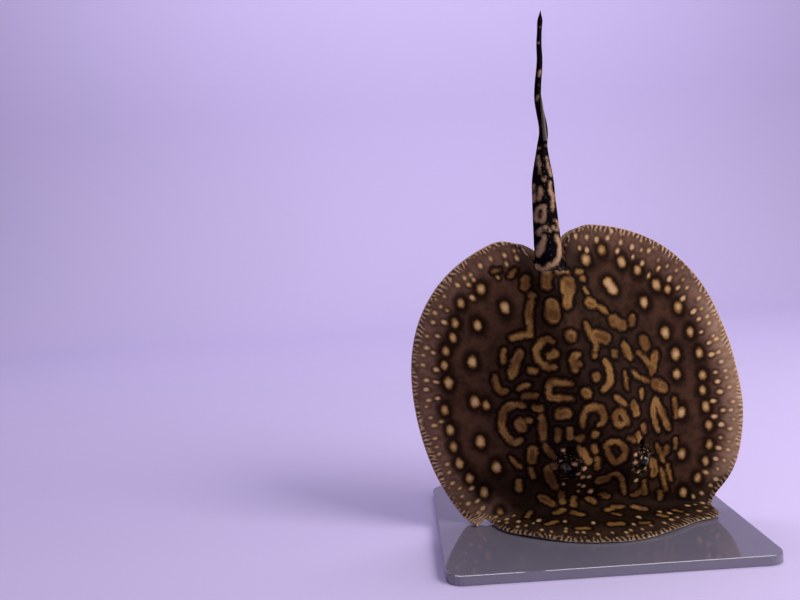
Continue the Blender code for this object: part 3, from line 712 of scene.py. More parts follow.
def edge_of_strokes(across, back, strokes):
    """Distance in millimetres to the edge of the nearest stroke, less than 0 inside.

    A stroke narrows towards its ends, as a brush mark does.
    """
    edge = np.full(across.shape, FAR_OFF)
    for width, *points in strokes:
        distance, along = from_polyline(across, back, rounded_off(points))
        taper = 1.0 - STROKE_TAPER * np.abs(2.0 * along - 1.0) ** 3 if len(points) > 2 else 1.0
        edge = np.minimum(edge, distance - width / 2 * STROKE_SPREAD * taper)
    return edge


def edge_of_dots(across, back, dots, lengthened=1.0):
    """Distance in millimetres to the edge of the nearest dot, less than 0 inside."""
    edge = np.full(across.shape, FAR_OFF)
    for x, y, size in dots:
        edge = np.minimum(edge, np.hypot(across - x, (back - y) / lengthened) - size)
    return edge


def edge_of_specks(across, back):
    """The same for the dots inside the margin, which are drawn out towards it."""
    edge = np.full(across.shape, FAR_OFF)
    for x, y, size in specks():
        reach = math.hypot(x, y)
        dx, dy = across - x, back - y
        outward = (dx * x + dy * y) / reach
        sideway = (dx * y - dy * x) / reach
        edge = np.minimum(edge, np.hypot(outward / SPECK_LENGTHENED, sideway) - size)
    return edge


def specks():
    """Pale dots in rows inside the margin, set by a seeded draw clear of other marks."""
    draw = random.Random(SPECK_SEED)
    dots = []
    for inward, pitch, radius in SPECK_ROWS:
        count = int(2 * math.pi * (DISC_RADIUS / MM - inward) / pitch)
        for number in range(count):
            angle = 2 * math.pi * (number + 0.6 * (draw.random() - 0.5)) / count
            reach = float(outline_radius(angle) - fold_pinch(angle)) / MM - inward
            reach += SPECK_SCATTER * (draw.random() - 0.5)
            size = radius * (0.75 + 0.5 * draw.random())
            x, y = reach * math.sin(angle), reach * math.cos(angle)
            near = min(math.hypot(x - u, y - v) for u, v, _ in RIGHT_EYESPOTS + LEFT_EYESPOTS)
            from_stroke = edge_of_strokes(np.array([x]), np.array([y]), BODY_STROKES)[0]
            beside_tail = abs(math.remainder(angle, 2 * math.pi)) < SPECK_OFF_TAIL
            if near > SPECK_OFF_EYESPOT and from_stroke > size + SPECK_OFF_STROKE and not beside_tail:
                dots.append((x, y, size))
    return dots


def gill_places():
    """Across and back of each gill slit of one side."""
    for number in range(GILL_PAIRS):
        t = number / (GILL_PAIRS - 1)
        yield (GILL_FIRST[0] + (GILL_LAST[0] - GILL_FIRST[0]) * t,
               GILL_FIRST[1] + (GILL_LAST[1] - GILL_FIRST[1]) * t)


def by_opening(across, back):
    """Mask of the painted shade in and round the openings of the underside: 1 at the mouth, nostrils and gill
    slits, fading out around them.
    """
    aside = np.abs(across)
    nearest = np.hypot(across / MOUTH_SIZE[0], (back - MOUTH_BACK) / (2.2 * MOUTH_SIZE[1]))
    nostril = np.hypot(aside - NOSTRIL_PLACE[0], back - NOSTRIL_PLACE[1]) / (1.3 * NOSTRIL_SIZE[0])
    nearest = np.minimum(nearest, nostril)
    for gill_across, gill_back in gill_places():
        out, ahead = aside - gill_across, back - gill_back
        along = out * math.cos(GILL_SLANT) + ahead * math.sin(GILL_SLANT)
        across_slit = ahead * math.cos(GILL_SLANT) - out * math.sin(GILL_SLANT)
        slit = np.hypot(along / (1.1 * GILL_SIZE[0]), across_slit / (2.0 * GILL_SIZE[1]))
        nearest = np.minimum(nearest, slit)
    return 1.0 - smooth_step(nearest, 0.7, 1.7)


def tail_cover(sideways, height, rise):
    """1 where a place belongs to the tail rather than to the disc."""
    route = tail_line()
    heights = np.array([point.z - BASE_TOP - REST_GAP for point in route]) / MM
    middle = np.array([point.x for point in route]) / MM
    half_width = np.array([tail_size(part)[0] / 2 for part in lengths_along(route)]) / MM
    off_tail = np.abs(sideways - np.interp(height, heights, middle))
    off_tail -= np.interp(height, heights, half_width)
    cover = smooth_step(height, 225.0, 233.0) * (1.0 - smooth_step(off_tail, 0.3, 2.5))
    return cover * smooth_step(rise, 2.5, 5.0)


def note_marks(mesh, flat, normals):
    """Store on each point where it lies on the flat plan, how far the marks are, and the mask of painted
    shade round the openings of the underside.
    """
    across, back, rise = flat.T / MM
    angle = np.arctan2(flat[:, 0], flat[:, 1])
    margin = outline_radius(angle) - notch_depth(angle)
    from_margin = (margin - np.hypot(flat[:, 0], flat[:, 1])) / MM
    from_nick = from_polyline(across, back, nick_margin())[0]
    upright = stand_up(flat[:, 0], flat[:, 1], flat[:, 2])
    sideways, height = upright[:, 0] / MM, (upright[:, 2] - BASE_TOP - REST_GAP) / MM
    tail = tail_cover(sideways, height, rise)

    stroke = np.where(tail > 0.5, edge_of_strokes(sideways, height, TAIL_STROKES),
                      edge_of_strokes(across, back, BODY_STROKES))
    spot = edge_of_dots(across, back, RIGHT_EYESPOTS + LEFT_EYESPOTS, EYESPOT_LENGTHENED)
    start, end, size = LARGE_EYESPOT
    spot = np.minimum(spot, from_polyline(across, back, (start, end))[0] - size)
    speck = np.minimum(edge_of_dots(across, back, EYE_RING_DOTS), edge_of_specks(across, back))
    out, ahead = in_head(flat[:, 0], flat[:, 1])
    marks = {
        "stroke_edge": stroke,
        "spot_edge": np.where(tail > 0.5, FAR_OFF, spot),
        "speck_edge": np.where(tail > 0.5, FAR_OFF, speck),
        "tail_cover": tail,
        # Mask of the painted shade round the openings of the underside.
        "by_opening": by_opening(flat[:, 0], flat[:, 1]),
        "from_eye": np.hypot(np.abs(out) - EYE_OUT + 0.001, (ahead + 0.001) * 0.85) / MM,
        "tail_height": height,
        "from_margin": np.minimum(from_margin, from_nick),
        "around_margin": np.mod(angle, 2 * math.pi) * DISC_RADIUS / MM,
        "underside": smooth_step(-normals[:, 2], 0.15, 0.75),
    }
    for name, values in marks.items():
        store(mesh, name, values)
    store(mesh, "flat_place", flat / MM, "FLOAT_VECTOR", "vector")


# ------------------------------------------------------------------- the skin

FLESH_NODES = ("head", "snout", "trunk", "pectoral_fin_left", "pectoral_fin_right", "pelvic_fin_left",
               "pelvic_fin_right", "tail_base", "tail_middle", "tail_tip")


def flat_disc():
    """Disc and head as one closed form, laid out flat, finer above than below."""
    bm = bmesh.new()
    bmesh.ops.create_grid(bm, x_segments=DISC_CELLS, y_segments=DISC_CELLS, size=1.0)
    grown = bmesh.ops.extrude_face_region(bm, geom=bm.faces[:], use_keep_orig=True)["geom"]
    for item in grown:
        if isinstance(item, bmesh.types.BMVert):
            item.co.z = 1.0
    refine(bm, sheet(bm, True))
    refine(bm, [face for face in sheet(bm, True) if near_an_eye(face.calc_center_median())])
    refine(bm, [face for face in sheet(bm, False) if near_the_mouth(face.calc_center_median())])

    grid = np.array([vert.co[:] for vert in bm.verts])
    across, back, part = disc_place(grid[:, 0], grid[:, 1])
    lift = margin_lift(across, back, part)
    at_rim = part > 0.99999
    low, high = RIM_LEVELS
    top = body_rise(across, back, part) + fine_relief(across, back, part)
    top = np.where(at_rim, RIM_THICKNESS * high, top)
    bottom = np.where(at_rim, RIM_THICKNESS * low, belly_rise(across, back, part))
    rise = np.where(grid[:, 2] > 0.5, top, bottom) + lift
    for vert, place in zip(bm.verts, np.stack([across, back, rise], axis=-1)):
        vert.co = place
    return object_from(bm, "fish_skin")


def sheet(bm, upper):
    """Faces that lie wholly in the upper, or wholly in the lower, sheet of the grid."""
    return [face for face in bm.faces if all((vert.co.z > 0.5) == upper for vert in face.verts)]


def refine(bm, faces):
    edges = {edge for face in faces for edge in face.edges}
    bmesh.ops.subdivide_edges(bm, edges=list(edges), cuts=1, use_grid_fill=True)


def near_an_eye(middle):
    across, back, _ = disc_place(np.float64(middle.x), np.float64(middle.y))
    out, ahead = in_head(across, back)
    return np.hypot(abs(out) - EYE_OUT, ahead - 0.004) < EYE_DETAIL_REACH


def near_the_mouth(middle):
    across, back, _ = disc_place(np.float64(middle.x), np.float64(middle.y))
    front, rear = MOUTH_DETAIL_BACK
    return abs(across) < MOUTH_DETAIL_ACROSS and front < back < rear


def belly_rise(across, back, part):
    """Hollows of the underside: beside the belly, round the mouth and the gills."""
    groove = 0.0009 * plateau(np.abs(across) - 0.046, 0.007, 2.0) * plateau(back - 0.020, 0.085, 4.0)
    lips = ridge(np.hypot(across / 1.7, (back - MOUTH_BACK) * 1.4), *LIPS)
    wings = 0.0007 * smooth_step(part, 0.45, 0.80) * (1.0 - smooth_step(part, 0.90, 1.0))
    return groove + lips + wings


def flat_tail():
    """The tail, laid in the flat layout so that it can be joined to the disc."""
    bm = bmesh.new()
    route = tail_line()
    parts = lengths_along(route)
    sizes = []
    for part in parts:
        width, thickness = tail_size(part)
        rounding = math.sqrt(max(0.08, 1.0 - max(0.0, (part - 0.990) / 0.0105) ** 2))
        sizes.append((width * rounding, thickness * rounding))
    rings, shape = grow_rings(bm, TAIL_SIDES, len(route))
    for index, verts in enumerate(rings):
        side, up = ring_frame(route, index)
        width, thickness = sizes[index]
        for vert, corner in zip(verts, shape):
            vert.co = lie_flat(route[index] + side * corner.x * width / 2 + up * corner.y * thickness / 2)
    return object_from(bm, "tail")


def flat_pelvic_fins():
    """A thin rounded lobe under the disc on each side of the tail's root."""
    fins = []
    for side in (-1, 1):
        place = Matrix.Translation((side * PELVIC_ACROSS, PELVIC_BACK, PELVIC_LEVEL))
        turn = Matrix.Rotation(side * (math.pi / 2 - PELVIC_SPLAY), 4, "Z")
        size = (PELVIC_HALF_LENGTH, PELVIC_HALF_WIDTH, PELVIC_HALF_THICKNESS)
        fins.append(lens(size, place @ turn, "pelvic_fin", 96, 20))
    return fins


def opening_cutters():
    """Eye sockets, spiracles, nostrils, mouth, gill slits and vent."""
    cutters = []
    for side in (-1, 1):
        socket = EYE_RADIUS + EYE_CLEARANCE
        cutters.append(lens((socket,) * 3, flat_head_frame(side * EYE_OUT, 0.0, EYE_SINK), "socket"))
        tilt = Matrix.Rotation(side * SPIRACLE_TILT, 4, "Y")
        place = flat_head_frame(side * SPIRACLE_OUT, SPIRACLE_BACK, 0.001)
        cutters.append(lens(SPIRACLE_SIZE, place @ tilt, "spiracle"))
        nostril = belly_place(side * NOSTRIL_PLACE[0], NOSTRIL_PLACE[1], side * NOSTRIL_SLANT)
        cutters.append(lens(NOSTRIL_SIZE, nostril, "nostril", 24, 12))
        for across, back in gill_places():
            slit = belly_place(side * across, back, side * GILL_SLANT)
            cutters.append(lens(GILL_SIZE, slit, "gill", 32, 10))
    cutters.append(lens(MOUTH_SIZE, belly_place(0.0, MOUTH_BACK), "mouth"))
    cutters.append(lens(VENT_SIZE, belly_place(0.0, VENT_BACK), "vent", 24, 12))
    return cutters


def belly_place(across, back, turn=0.0):
    """Flat matrix of an opening in the underside."""
    return Matrix.Translation((across, back, CUT_LEVEL)) @ Matrix.Rotation(turn, 4, "Z")


def eased(bm, verts, factor):
    bmesh.ops.smooth_vert(bm, verts=verts, factor=factor, use_axis_x=True, use_axis_y=True, use_axis_z=True)


def soften_joins(bm):
    """Ease the sharp edges that joining and cutting leave, but not the margin."""
    for _ in range(3):
        bm.normal_update()
        sharp = set()
        for edge in bm.edges:
            if len(edge.link_faces) == 2 and edge.calc_face_angle(0.0) > SHARP_JOIN:
                sharp.update(edge.verts)
        inner = [vert for vert in sharp if part_of_radius(vert.co.x, vert.co.y) < JOINS_INSIDE_PART]
        eased(bm, inner, 0.45)
    root = lie_flat(tail_line()[TAIL_RINGS_PER_SPAN])
    seam = [vert for vert in bm.verts
            if (vert.co - root).length < 0.034 and vert.co.z > 0.001 and vert.co.y < root.y + 0.020]
    for _ in range(6):
        eased(bm, seam, 0.5)


def build_skin(finish):
    """Carve the flat fish, note where its marks fall, and stand it up."""
    skin = combined(flat_disc(), [flat_tail(), *flat_pelvic_fins()], "UNION")
    skin = combined(skin, opening_cutters(), "DIFFERENCE")
    bm = bmesh.new()
    bm.from_mesh(skin.data)
    bpy.data.objects.remove(skin, do_unlink=True)
    bmesh.ops.remove_doubles(bm, verts=bm.verts[:], dist=0.00002)
    soften_joins(bm)
    bm.normal_update()
    flat = np.array([vert.co[:] for vert in bm.verts])
    normals = np.array([vert.normal[:] for vert in bm.verts])
    for vert, place in zip(bm.verts, stand_up(flat[:, 0], flat[:, 1], flat[:, 2])):
        vert.co = place
    made = object_from(bm, "fish_skin", finish)
    note_marks(made.data, flat, normals)
    on_the_fish(made, "skin", *FLESH_NODES)


# ----------------------------------------------------------- eyes, sting, thorns

def stand_head_frame(out, ahead, sink):
    return flat_to_upright() @ flat_head_frame(out, ahead, sink)


def build_eye(side, finish):
    """A round eye with a domed cornea, looking out to the side and a little up."""
    look = Vector((side * 0.74, -0.20, 0.64)).normalized()
    aim = look.to_track_quat("Z", "Y").to_matrix().to_4x4()
    bm = bmesh.new()
    bmesh.ops.create_uvsphere(bm, u_segments=72, v_segments=48, radius=EYE_RADIUS)
    for vert in bm.verts:
        tilt = math.acos(max(-1.0, min(1.0, vert.co.z / EYE_RADIUS)))
        dome = 1.0 + 0.012 * math.exp(-(tilt / 0.55) ** 4)
        vert.co *= dome * 0.985
    shape = np.array([vert.co[:] for vert in bm.verts]) / EYE_RADIUS
    place = stand_head_frame(side * EYE_OUT, 0.0, EYE_SINK) @ aim
    bmesh.ops.transform(bm, matrix=place, verts=bm.verts[:])
    name = "eye_wet_left" if side > 0 else "eye_wet_right"
    made = object_from(bm, name, finish)
    store(made.data, "eye_place", shape, "FLOAT_VECTOR", "vector")
    on_the_fish(made, "eye", "eye_left" if side > 0 else "eye_right")


def build_sting(finish):
    """A flat tapering blade with small back-turned teeth along both edges."""
    route = tail_line()
    parts = lengths_along(route)
    start = ring_at(parts, STING_AT)
    end = min(range(len(parts)), key=lambda i: abs((route[i] - route[start]).length - STING_LENGTH))
    side, up = ring_frame(route, start)
    lift = tail_size(parts[start])[1] / 2 + REST_GAP + STING_THICKNESS / 2
    root = route[start] + up * lift + side * STING_ASIDE
    tip = route[end] + up * (lift + REST_GAP) + side * STING_ASIDE
    ahead = (tip - root).normalized()
    side = up.cross(ahead).normalized()
    up = ahead.cross(side)
    place = placed(root, side, up, ahead)
    bm = bmesh.new()
    steps = 2 * STING_TEETH
    rings, shape = grow_rings(bm, 16, steps + 1)
    for step, verts in enumerate(rings):
        t = step / steps
        taper = (1.0 - t ** 2.2) * 0.94 + 0.06
        at_tooth = step % 2 == 1
        for vert, corner in zip(verts, shape):
            at_edge = abs(corner.x) > 0.85
            width = 0.80 if at_edge and not at_tooth else 1.0
            swing = 0.9 * STING_LENGTH / steps if at_edge and at_tooth else 0.0
            vert.co = Vector((corner.x * STING_WIDTH / 2 * taper * width,
                              corner.y * STING_THICKNESS / 2 * (0.35 + 0.65 * taper),
                              t * STING_LENGTH - swing))
    bmesh.ops.transform(bm, matrix=place, verts=bm.verts[:])
    made = object_from(bm, "tail_sting_blade", finish, crease=math.radians(35))
    on_the_fish(made, "sting", "tail_sting")


def build_thorns(finish):
    """One row of low hooked thorns along the middle of the tail's upper side."""
    route = tail_line()
    parts = lengths_along(route)
    draw = random.Random(THORN_SEED)
    bm = bmesh.new()
    for number in range(THORN_COUNT):
        t = THORN_PLACES[0] + (THORN_PLACES[1] - THORN_PLACES[0]) * number / (THORN_COUNT - 1)
        index = ring_at(parts, t)
        side, up = ring_frame(route, index)
        ahead = side.cross(up) * -1.0
        if ahead.z < 0.0:
            ahead.negate()
        height = THORN_HEIGHT * (0.75 + 0.5 * draw.random())
        foot = route[index] + up * (tail_size(t)[1] / 2 - 0.0004) + side * (draw.random() - 0.5) * 0.0012
        cone = bmesh.ops.create_cone(bm, cap_ends=True, segments=10, radius1=1.0, radius2=0.12, depth=1.0)
        for vert in cone["verts"]:
            level = vert.co.z + 0.5
            lean = ahead * (level ** 1.5) * height * 0.9
            vert.co = (foot + side * vert.co.x * height * 0.55 + ahead * vert.co.y * height * 0.9
                       + up * level * height + lean)
    made = object_from(bm, "tail_thorns", finish)
    on_the_fish(made, "sting")


# ------------------------------------------------------------------- the stand

def build_rod(name, x, finish):
    """A steel rod: straight up behind the fish, then a quarter bend to its pad."""
    foot = BASE_TOP + REST_GAP
    bend_z = ROD_HEIGHT - ROD_BEND_RADIUS
    bm = bmesh.new()
    first = bmesh.ops.create_circle(bm, cap_ends=False, segments=40, radius=ROD_RADIUS,
                                    matrix=Matrix.Translation((x, ROD_DISTANCE, foot)))["verts"]
    verts, edges = extruded(bm, bm.edges[:])
    bmesh.ops.translate(bm, verts=verts, vec=(0.0, 0.0, bend_z - foot))
    turned = bmesh.ops.spin(bm, geom=edges, cent=(x, ROD_DISTANCE - ROD_BEND_RADIUS, bend_z),
                            axis=(1.0, 0.0, 0.0), angle=math.pi / 2, steps=20, use_duplicate=False)
    last = [item for item in turned["geom_last"] if isinstance(item, bmesh.types.BMEdge)]
    verts, _ = extruded(bm, last)
    end = PAD_THICKNESS + 2 * REST_GAP
    shift = end - sum(vert.co.y for vert in verts) / len(verts)
    bmesh.ops.translate(bm, verts=verts, vec=(0.0, shift, 0.0))
    bmesh.ops.contextual_create(bm, geom=first)
    bmesh.ops.contextual_create(bm, geom=verts)
    made = object_from(bm, name + "_bent", finish)
    on_the_fish(made, "rod", name)


def build_pad(name, x, finish):
    """A soft round pad with an eased edge between rod and fish."""
    bm = bmesh.new()
    place = Matrix.Translation((x, REST_GAP + PAD_THICKNESS / 2, ROD_HEIGHT))
    bmesh.ops.create_cone(bm, cap_ends=True, segments=64, radius1=PAD_RADIUS, radius2=PAD_RADIUS,
                          depth=PAD_THICKNESS, matrix=place @ Matrix.Rotation(math.pi / 2, 4, "X"))
    rims = [edge for edge in bm.edges if abs(edge.verts[0].co.y - edge.verts[1].co.y) < 1e-6]
    bmesh.ops.bevel(bm, geom=rims, offset=PAD_EDGE, offset_type="OFFSET", segments=4, profile=0.5,
                    affect="EDGES", material=-1)
    made = object_from(bm, name + "_soft", finish)
    on_the_fish(made, "pad", name)


# ------------------------------------------------------------------- the studio

def build_backdrop(finish):
    """A pale floor that curves up into a wall far behind."""
    profile = [(-BACKDROP_HALF_WIDTH, 0.0), (-1.0, 0.0), (BACKDROP_REACH, 0.0)]
    for step in range(1, 17):
        turned = step / 16 * math.pi / 2
        profile.append((BACKDROP_REACH + BACKDROP_CURVE * math.sin(turned),
                        BACKDROP_CURVE - BACKDROP_CURVE * math.cos(turned)))
    profile.append((BACKDROP_REACH + BACKDROP_CURVE, BACKDROP_WALL))
    bm = bmesh.new()
    corners = [bm.verts.new((-BACKDROP_HALF_WIDTH, y, z - BACKDROP_SINK)) for y, z in profile]
    edges = [bm.edges.new(pair) for pair in zip(corners, corners[1:])]
    verts, _ = extruded(bm, edges)
    bmesh.ops.translate(bm, verts=verts, vec=(2 * BACKDROP_HALF_WIDTH, 0.0, 0.0))
    object_from(bm, "backdrop", finish)


def add_light(name, place, aim, size, power, colour):
    lamp = bpy.data.lights.new(name, "AREA")
    lamp.shape = "RECTANGLE"
    lamp.size, lamp.size_y = size
    lamp.energy = power
    lamp.color = colour
    made = bpy.data.objects.new(name, lamp)
    made.location = place
    made.rotation_mode = "QUATERNION"
    made.rotation_quaternion = (Vector(aim) - Vector(place)).to_track_quat("-Z", "Y")
    bpy.context.scene.collection.objects.link(made)


def add_camera():
    """Eye of the scene: low in front, a little to one side, tipped down and rolled."""
    ahead = Vector((0.0, math.cos(CAMERA_PITCH), -math.sin(CAMERA_PITCH)))
    level = Vector((1.0, 0.0, 0.0))
    upright = level.cross(ahead)
    right = level * math.cos(CAMERA_ROLL) - upright * math.sin(CAMERA_ROLL)
    up = level * math.sin(CAMERA_ROLL) + upright * math.cos(CAMERA_ROLL)
    camera = bpy.data.cameras.new("camera")
    camera.lens = CAMERA_LENS
    camera.sensor_width = 36.0
    camera.clip_start = 0.05
    made = bpy.data.objects.new("camera", camera)
    made.matrix_world = placed(CAMERA_PLACE, right, up, -ahead)
    bpy.context.scene.collection.objects.link(made)
    bpy.context.scene.camera = made


# ------------------------------------------------------------------- finishes

def paint(red, green, blue):
    """A display colour, 0 to 255, as the linear values that a shader takes."""
    return tuple(v / 255 / 12.92 if v <= 10 else ((v / 255 + 0.055) / 1.055) ** 2.4
                 for v in (red, green, blue))


class Graph:
    """Adds nodes to a shader tree in reading order and links them up."""

    def __init__(self, tree):
        self.tree = tree
        self.count = 0

    def add(self, kind, inputs=None, **settings):
        made = self.tree.nodes.new(kind)
        made.location = (self.count % 14 * 190 - 2600, 600 - self.count // 14 * 300)
        self.count += 1
        for name, value in settings.items():
            setattr(made, name, value)
        for key, value in (inputs or {}).items():
            self.feed(made.inputs[key], value)
        return made

    def feed(self, socket, value):
        if isinstance(value, bpy.types.NodeSocket):
            self.tree.links.new(value, socket)
        elif socket.type == "RGBA":
            socket.default_value = (*value[:3], 1.0)
        else:
            socket.default_value = value

    def value(self, name):
        return self.add("ShaderNodeAttribute", attribute_name=name).outputs["Fac"]

    def vector(self, name):
        return self.add("ShaderNodeAttribute", attribute_name=name).outputs["Vector"]

    def place(self):
        return self.add("ShaderNodeTexCoord").outputs["Object"]

    def maths(self, operation, first, second=0.0):
        return self.add("ShaderNodeMath", {0: first, 1: second}, operation=operation).outputs[0]

    def times(self, first, *others):
        for other in others:
            first = self.maths("MULTIPLY", first, other)
        return first

    def plus(self, first, *others):
        for other in others:
            first = self.maths("ADD", first, other)
        return first

    def largest(self, first, *others):
        for other in others:
            first = self.maths("MAXIMUM", first, other)
        return first

    def fade(self, value, start, end, low=0.0, high=1.0):
        """Smooth change from low to high as the value goes from start to end."""
        made = self.add("ShaderNodeMapRange", {"Value": value, "From Min": start, "From Max": end,
                                               "To Min": low, "To Max": high},
                        interpolation_type="SMOOTHSTEP")
        return made.outputs["Result"]

    def noise(self, place, scale, detail=2.0, roughness=0.5):
        made = self.add("ShaderNodeTexNoise", {"Vector": place, "Scale": scale, "Detail": detail,
                                               "Roughness": roughness})
        return made.outputs["Fac"]

    def mix(self, factor, first, second):
        made = self.add("ShaderNodeMix", data_type="RGBA", blend_type="MIX")
        self.feed(made.inputs[0], factor)
        self.feed(made.inputs[6], first)
        self.feed(made.inputs[7], second)
        return made.outputs[2]

    def scaled(self, place, scale):
        made = self.add("ShaderNodeMapping", {"Vector": place, "Scale": scale})
        return made.outputs["Vector"]

    def bump(self, height, distance, strength=1.0):
        made = self.add("ShaderNodeBump", {"Height": height, "Distance": distance, "Strength": strength})
        return made.outputs["Normal"]


def new_finish(name, **constants):
    """A material with its own Principled shader; constants go on the shader's sockets."""
    made = bpy.data.materials.new(name)
    made.use_nodes = True
    shader = made.node_tree.nodes["Principled BSDF"]
    graph = Graph(made.node_tree)
    for label, value in constants.items():
        graph.feed(shader.inputs[label.replace("_", " ")], value)
    return made, graph, shader


def fine_grain():
    """Node group: a fine even grain, as a roughness value and a normal."""
    found = bpy.data.node_groups.get("fine_grain")
    if found:
        return found
    group = bpy.data.node_groups.new("fine_grain", "ShaderNodeTree")
    for label, default in (("Scale", 400.0), ("Stretch", 1.0), ("Roughest", 0.5), ("Smoothest", 0.3),
                           ("Depth", 0.00005)):
        socket = group.interface.new_socket(label, in_out="INPUT", socket_type="NodeSocketFloat")
        socket.default_value = default
    group.interface.new_socket("Roughness", in_out="OUTPUT", socket_type="NodeSocketFloat")
    group.interface.new_socket("Normal", in_out="OUTPUT", socket_type="NodeSocketVector")
    graph = Graph(group)
    given = graph.add("NodeGroupInput").outputs
    stretch = graph.add("ShaderNodeCombineXYZ", {"X": 1.0, "Y": 1.0, "Z": given["Stretch"]})
    place = graph.scaled(graph.place(), stretch.outputs[0])
    grain = graph.noise(place, given["Scale"], 4.0, 0.6)
    smears = graph.noise(place, graph.times(given["Scale"], 0.06), 3.0, 0.55)
    both = graph.plus(graph.times(grain, 0.5), graph.times(smears, 0.5))
    rough = graph.fade(both, 0.35, 0.65, given["Smoothest"], given["Roughest"])
    normal = graph.bump(grain, given["Depth"])
    out = graph.add("NodeGroupOutput")
    graph.feed(out.inputs["Roughness"], rough)
    graph.feed(out.inputs["Normal"], normal)
    return group


def with_grain(graph, shader, **values):
    """Place the shared grain in a material with its own values."""
    grain = graph.add("ShaderNodeGroup", node_tree=fine_grain())
    for label, value in values.items():
        graph.feed(grain.inputs[label], value)
    graph.feed(shader.inputs["Roughness"], grain.outputs["Roughness"])
    graph.feed(shader.inputs["Normal"], grain.outputs["Normal"])


class SkinPlaces:
    """Stored distances of the skin, the soft noises that several tones share, and the mask of painted shade
    on the flank beside the head and on the folded front.
    """

    def __init__(self, g):
        self.plan = g.vector("flat_place")
        axes = g.add("ShaderNodeSeparateXYZ", {"Vector": self.plan}).outputs
        self.across, self.back = axes["X"], axes["Y"]
        self.inward = g.value("from_margin")
        self.tail = g.value("tail_cover")
        self.off_tail = g.maths("SUBTRACT", 1.0, self.tail)
        self.height = g.value("tail_height")
        self.from_eye = g.value("from_eye")
        self.drift = g.fade(g.noise(self.plan, 0.16, 4.0, 0.65), 0.25, 0.75, -1.6, 1.6)
        self.fine = g.noise(self.plan, 1.1, 5.0, 0.65)
        self.mottle = g.noise(self.plan, 0.13, 4.0, 0.6)
        self.broad = g.noise(self.plan, 0.024, 2.0)
        self.before_fold = g.fade(self.back, -106.0, -90.0)
        # Painted shade: the fish's right flank beside the head, away from the key light, and the folded front
        # that lies on the base are darkened in the colour.
        flank = g.times(g.fade(self.across, -20.0, -60.0), g.fade(self.back, -20.0, -60.0),
                        g.fade(self.inward, 12.0, 36.0), 0.6)
        self.shaded = g.largest(flank, g.fade(self.before_fold, 1.0, 0.0, 0.0, 0.35))


def ground_tones(g, look, at):
    """Brown between the marks: dark mid-body, lighter to the margin, black on the tail. The fish's right
    flank beside the head and the folded front are painted in shade: the wing and hem browns are held back
    there, and the ground goes towards black. Painted light makes the fish's left margin paler.
    """
    black = look.outline
    # The warmer wing brown stops before the fold, so the folded front keeps the darker ground: part of its
    # painted shade.
    to_wing = g.times(g.fade(at.inward, 92.0, 42.0), g.fade(at.broad, 0.30, 0.60, 0.6, 1.0), at.before_fold)
    ground = g.mix(to_wing, look.ground, look.wing)
    ground = g.mix(g.fade(at.mottle, 0.40, 0.68, 0.0, 0.45), ground, black)
    ground = g.mix(g.fade(at.fine, 0.42, 0.75, 0.0, 0.30), ground, black)
    # The hem is held back on the folded front, also part of its painted shade.
    hem = g.times(g.fade(at.inward, 32.0, 11.0, 0.0, 0.85), g.fade(at.mottle, 0.25, 0.7, 1.0, 0.55),
                  g.plus(g.times(at.before_fold, 0.65), 0.35), g.fade(at.back, 50.0, 110.0, 1.0, 0.75))
    ground = g.mix(hem, ground, look.hem)
    # Painted light: the fish's left margin, on the side where the key and side lamps fall, is paler in the
    # colour.
    pale = g.times(g.fade(at.across, 70.0, 140.0, 0.0, 0.32), g.fade(at.inward, 24.0, 6.0),
                   at.before_fold, g.fade(at.back, 100.0, 40.0))
    ground = g.mix(pale, ground, look.margin)
    # Painted shade on the flank beside the head and on the folded front.
    ground = g.mix(at.shaded, ground, black)
    root = g.times(g.fade(at.back, 70.0, 108.0), g.fade(g.maths("ABSOLUTE", at.across), 36.0, 20.0), 0.65)
    ground = g.mix(root, ground, black)
    ground = g.mix(g.fade(at.from_eye, 14.0, 8.5, 0.0, 0.85), ground, black)
    return g.mix(g.times(at.tail, 0.97), ground, look.tail)


def marks_over(g, look, at, ground):
    """Ochre strokes, cream eyespots and pale dots, each with a dark ring, darkened by painted shade on the
    flank beside the head and on the folded front.
    """
    stroke = g.plus(g.value("stroke_edge"), g.times(at.drift, 0.7), g.times(at.tail, 0.55))
    spot = g.plus(g.value("spot_edge"), g.fade(at.drift, -1.6, 1.6, -0.25, 0.9))
    speck = g.plus(g.value("speck_edge"), g.times(at.drift, 0.3))
    speck_ring = g.times(g.fade(speck, 3.6, 0.8), g.fade(at.inward, 9.0, 26.0, 0.30, 0.75))
    dark = g.largest(g.fade(stroke, 5.2, 2.0), g.fade(spot, 9.5, 3.0, 0.0, 0.88), speck_ring)
    coat = g.mix(g.times(dark, 0.94), ground, look.outline)

    ochre = g.mix(g.fade(stroke, 1.2, -1.7), look.mark_edge, look.mark)
    inner = g.times(g.fade(stroke, -1.4, -3.4), g.fade(at.mottle, 0.36, 0.60, 0.15, 0.8))
    ochre = g.mix(inner, ochre, look.mark_edge)
    ochre = g.mix(g.fade(g.noise(at.plan, 0.055, 3.0), 0.38, 0.62, 0.0, 0.75), ochre, look.mark_edge)
    ochre = g.mix(g.times(at.tail, 0.45), ochre, look.margin)
    ochre = g.mix(g.fade(at.fine, 0.38, 0.75, 0.0, 0.5), ochre, look.mark_edge)
    coat = g.mix(g.fade(stroke, 2.2, -0.9), coat, ochre)
    heart = g.mix(g.fade(spot, 2.4, 0.2), look.mark_edge, look.mark)
    heart = g.mix(g.fade(spot, 0.9, -1.6), heart, look.spot)
    coat = g.mix(g.fade(spot, 3.1, 0.4, 0.0, 0.95), coat, heart)
    dot = g.mix(g.fade(speck, 0.3, -1.0), look.mark, g.mix(0.6, look.spot, look.margin))
    coat = g.mix(g.fade(speck, 1.3, -0.8, 0.0, 0.92), coat, dot)
    # Painted shade: the marks are darkened on the flank beside the head and on the folded front.
    return g.mix(g.times(at.shaded, 0.4), coat, look.outline)


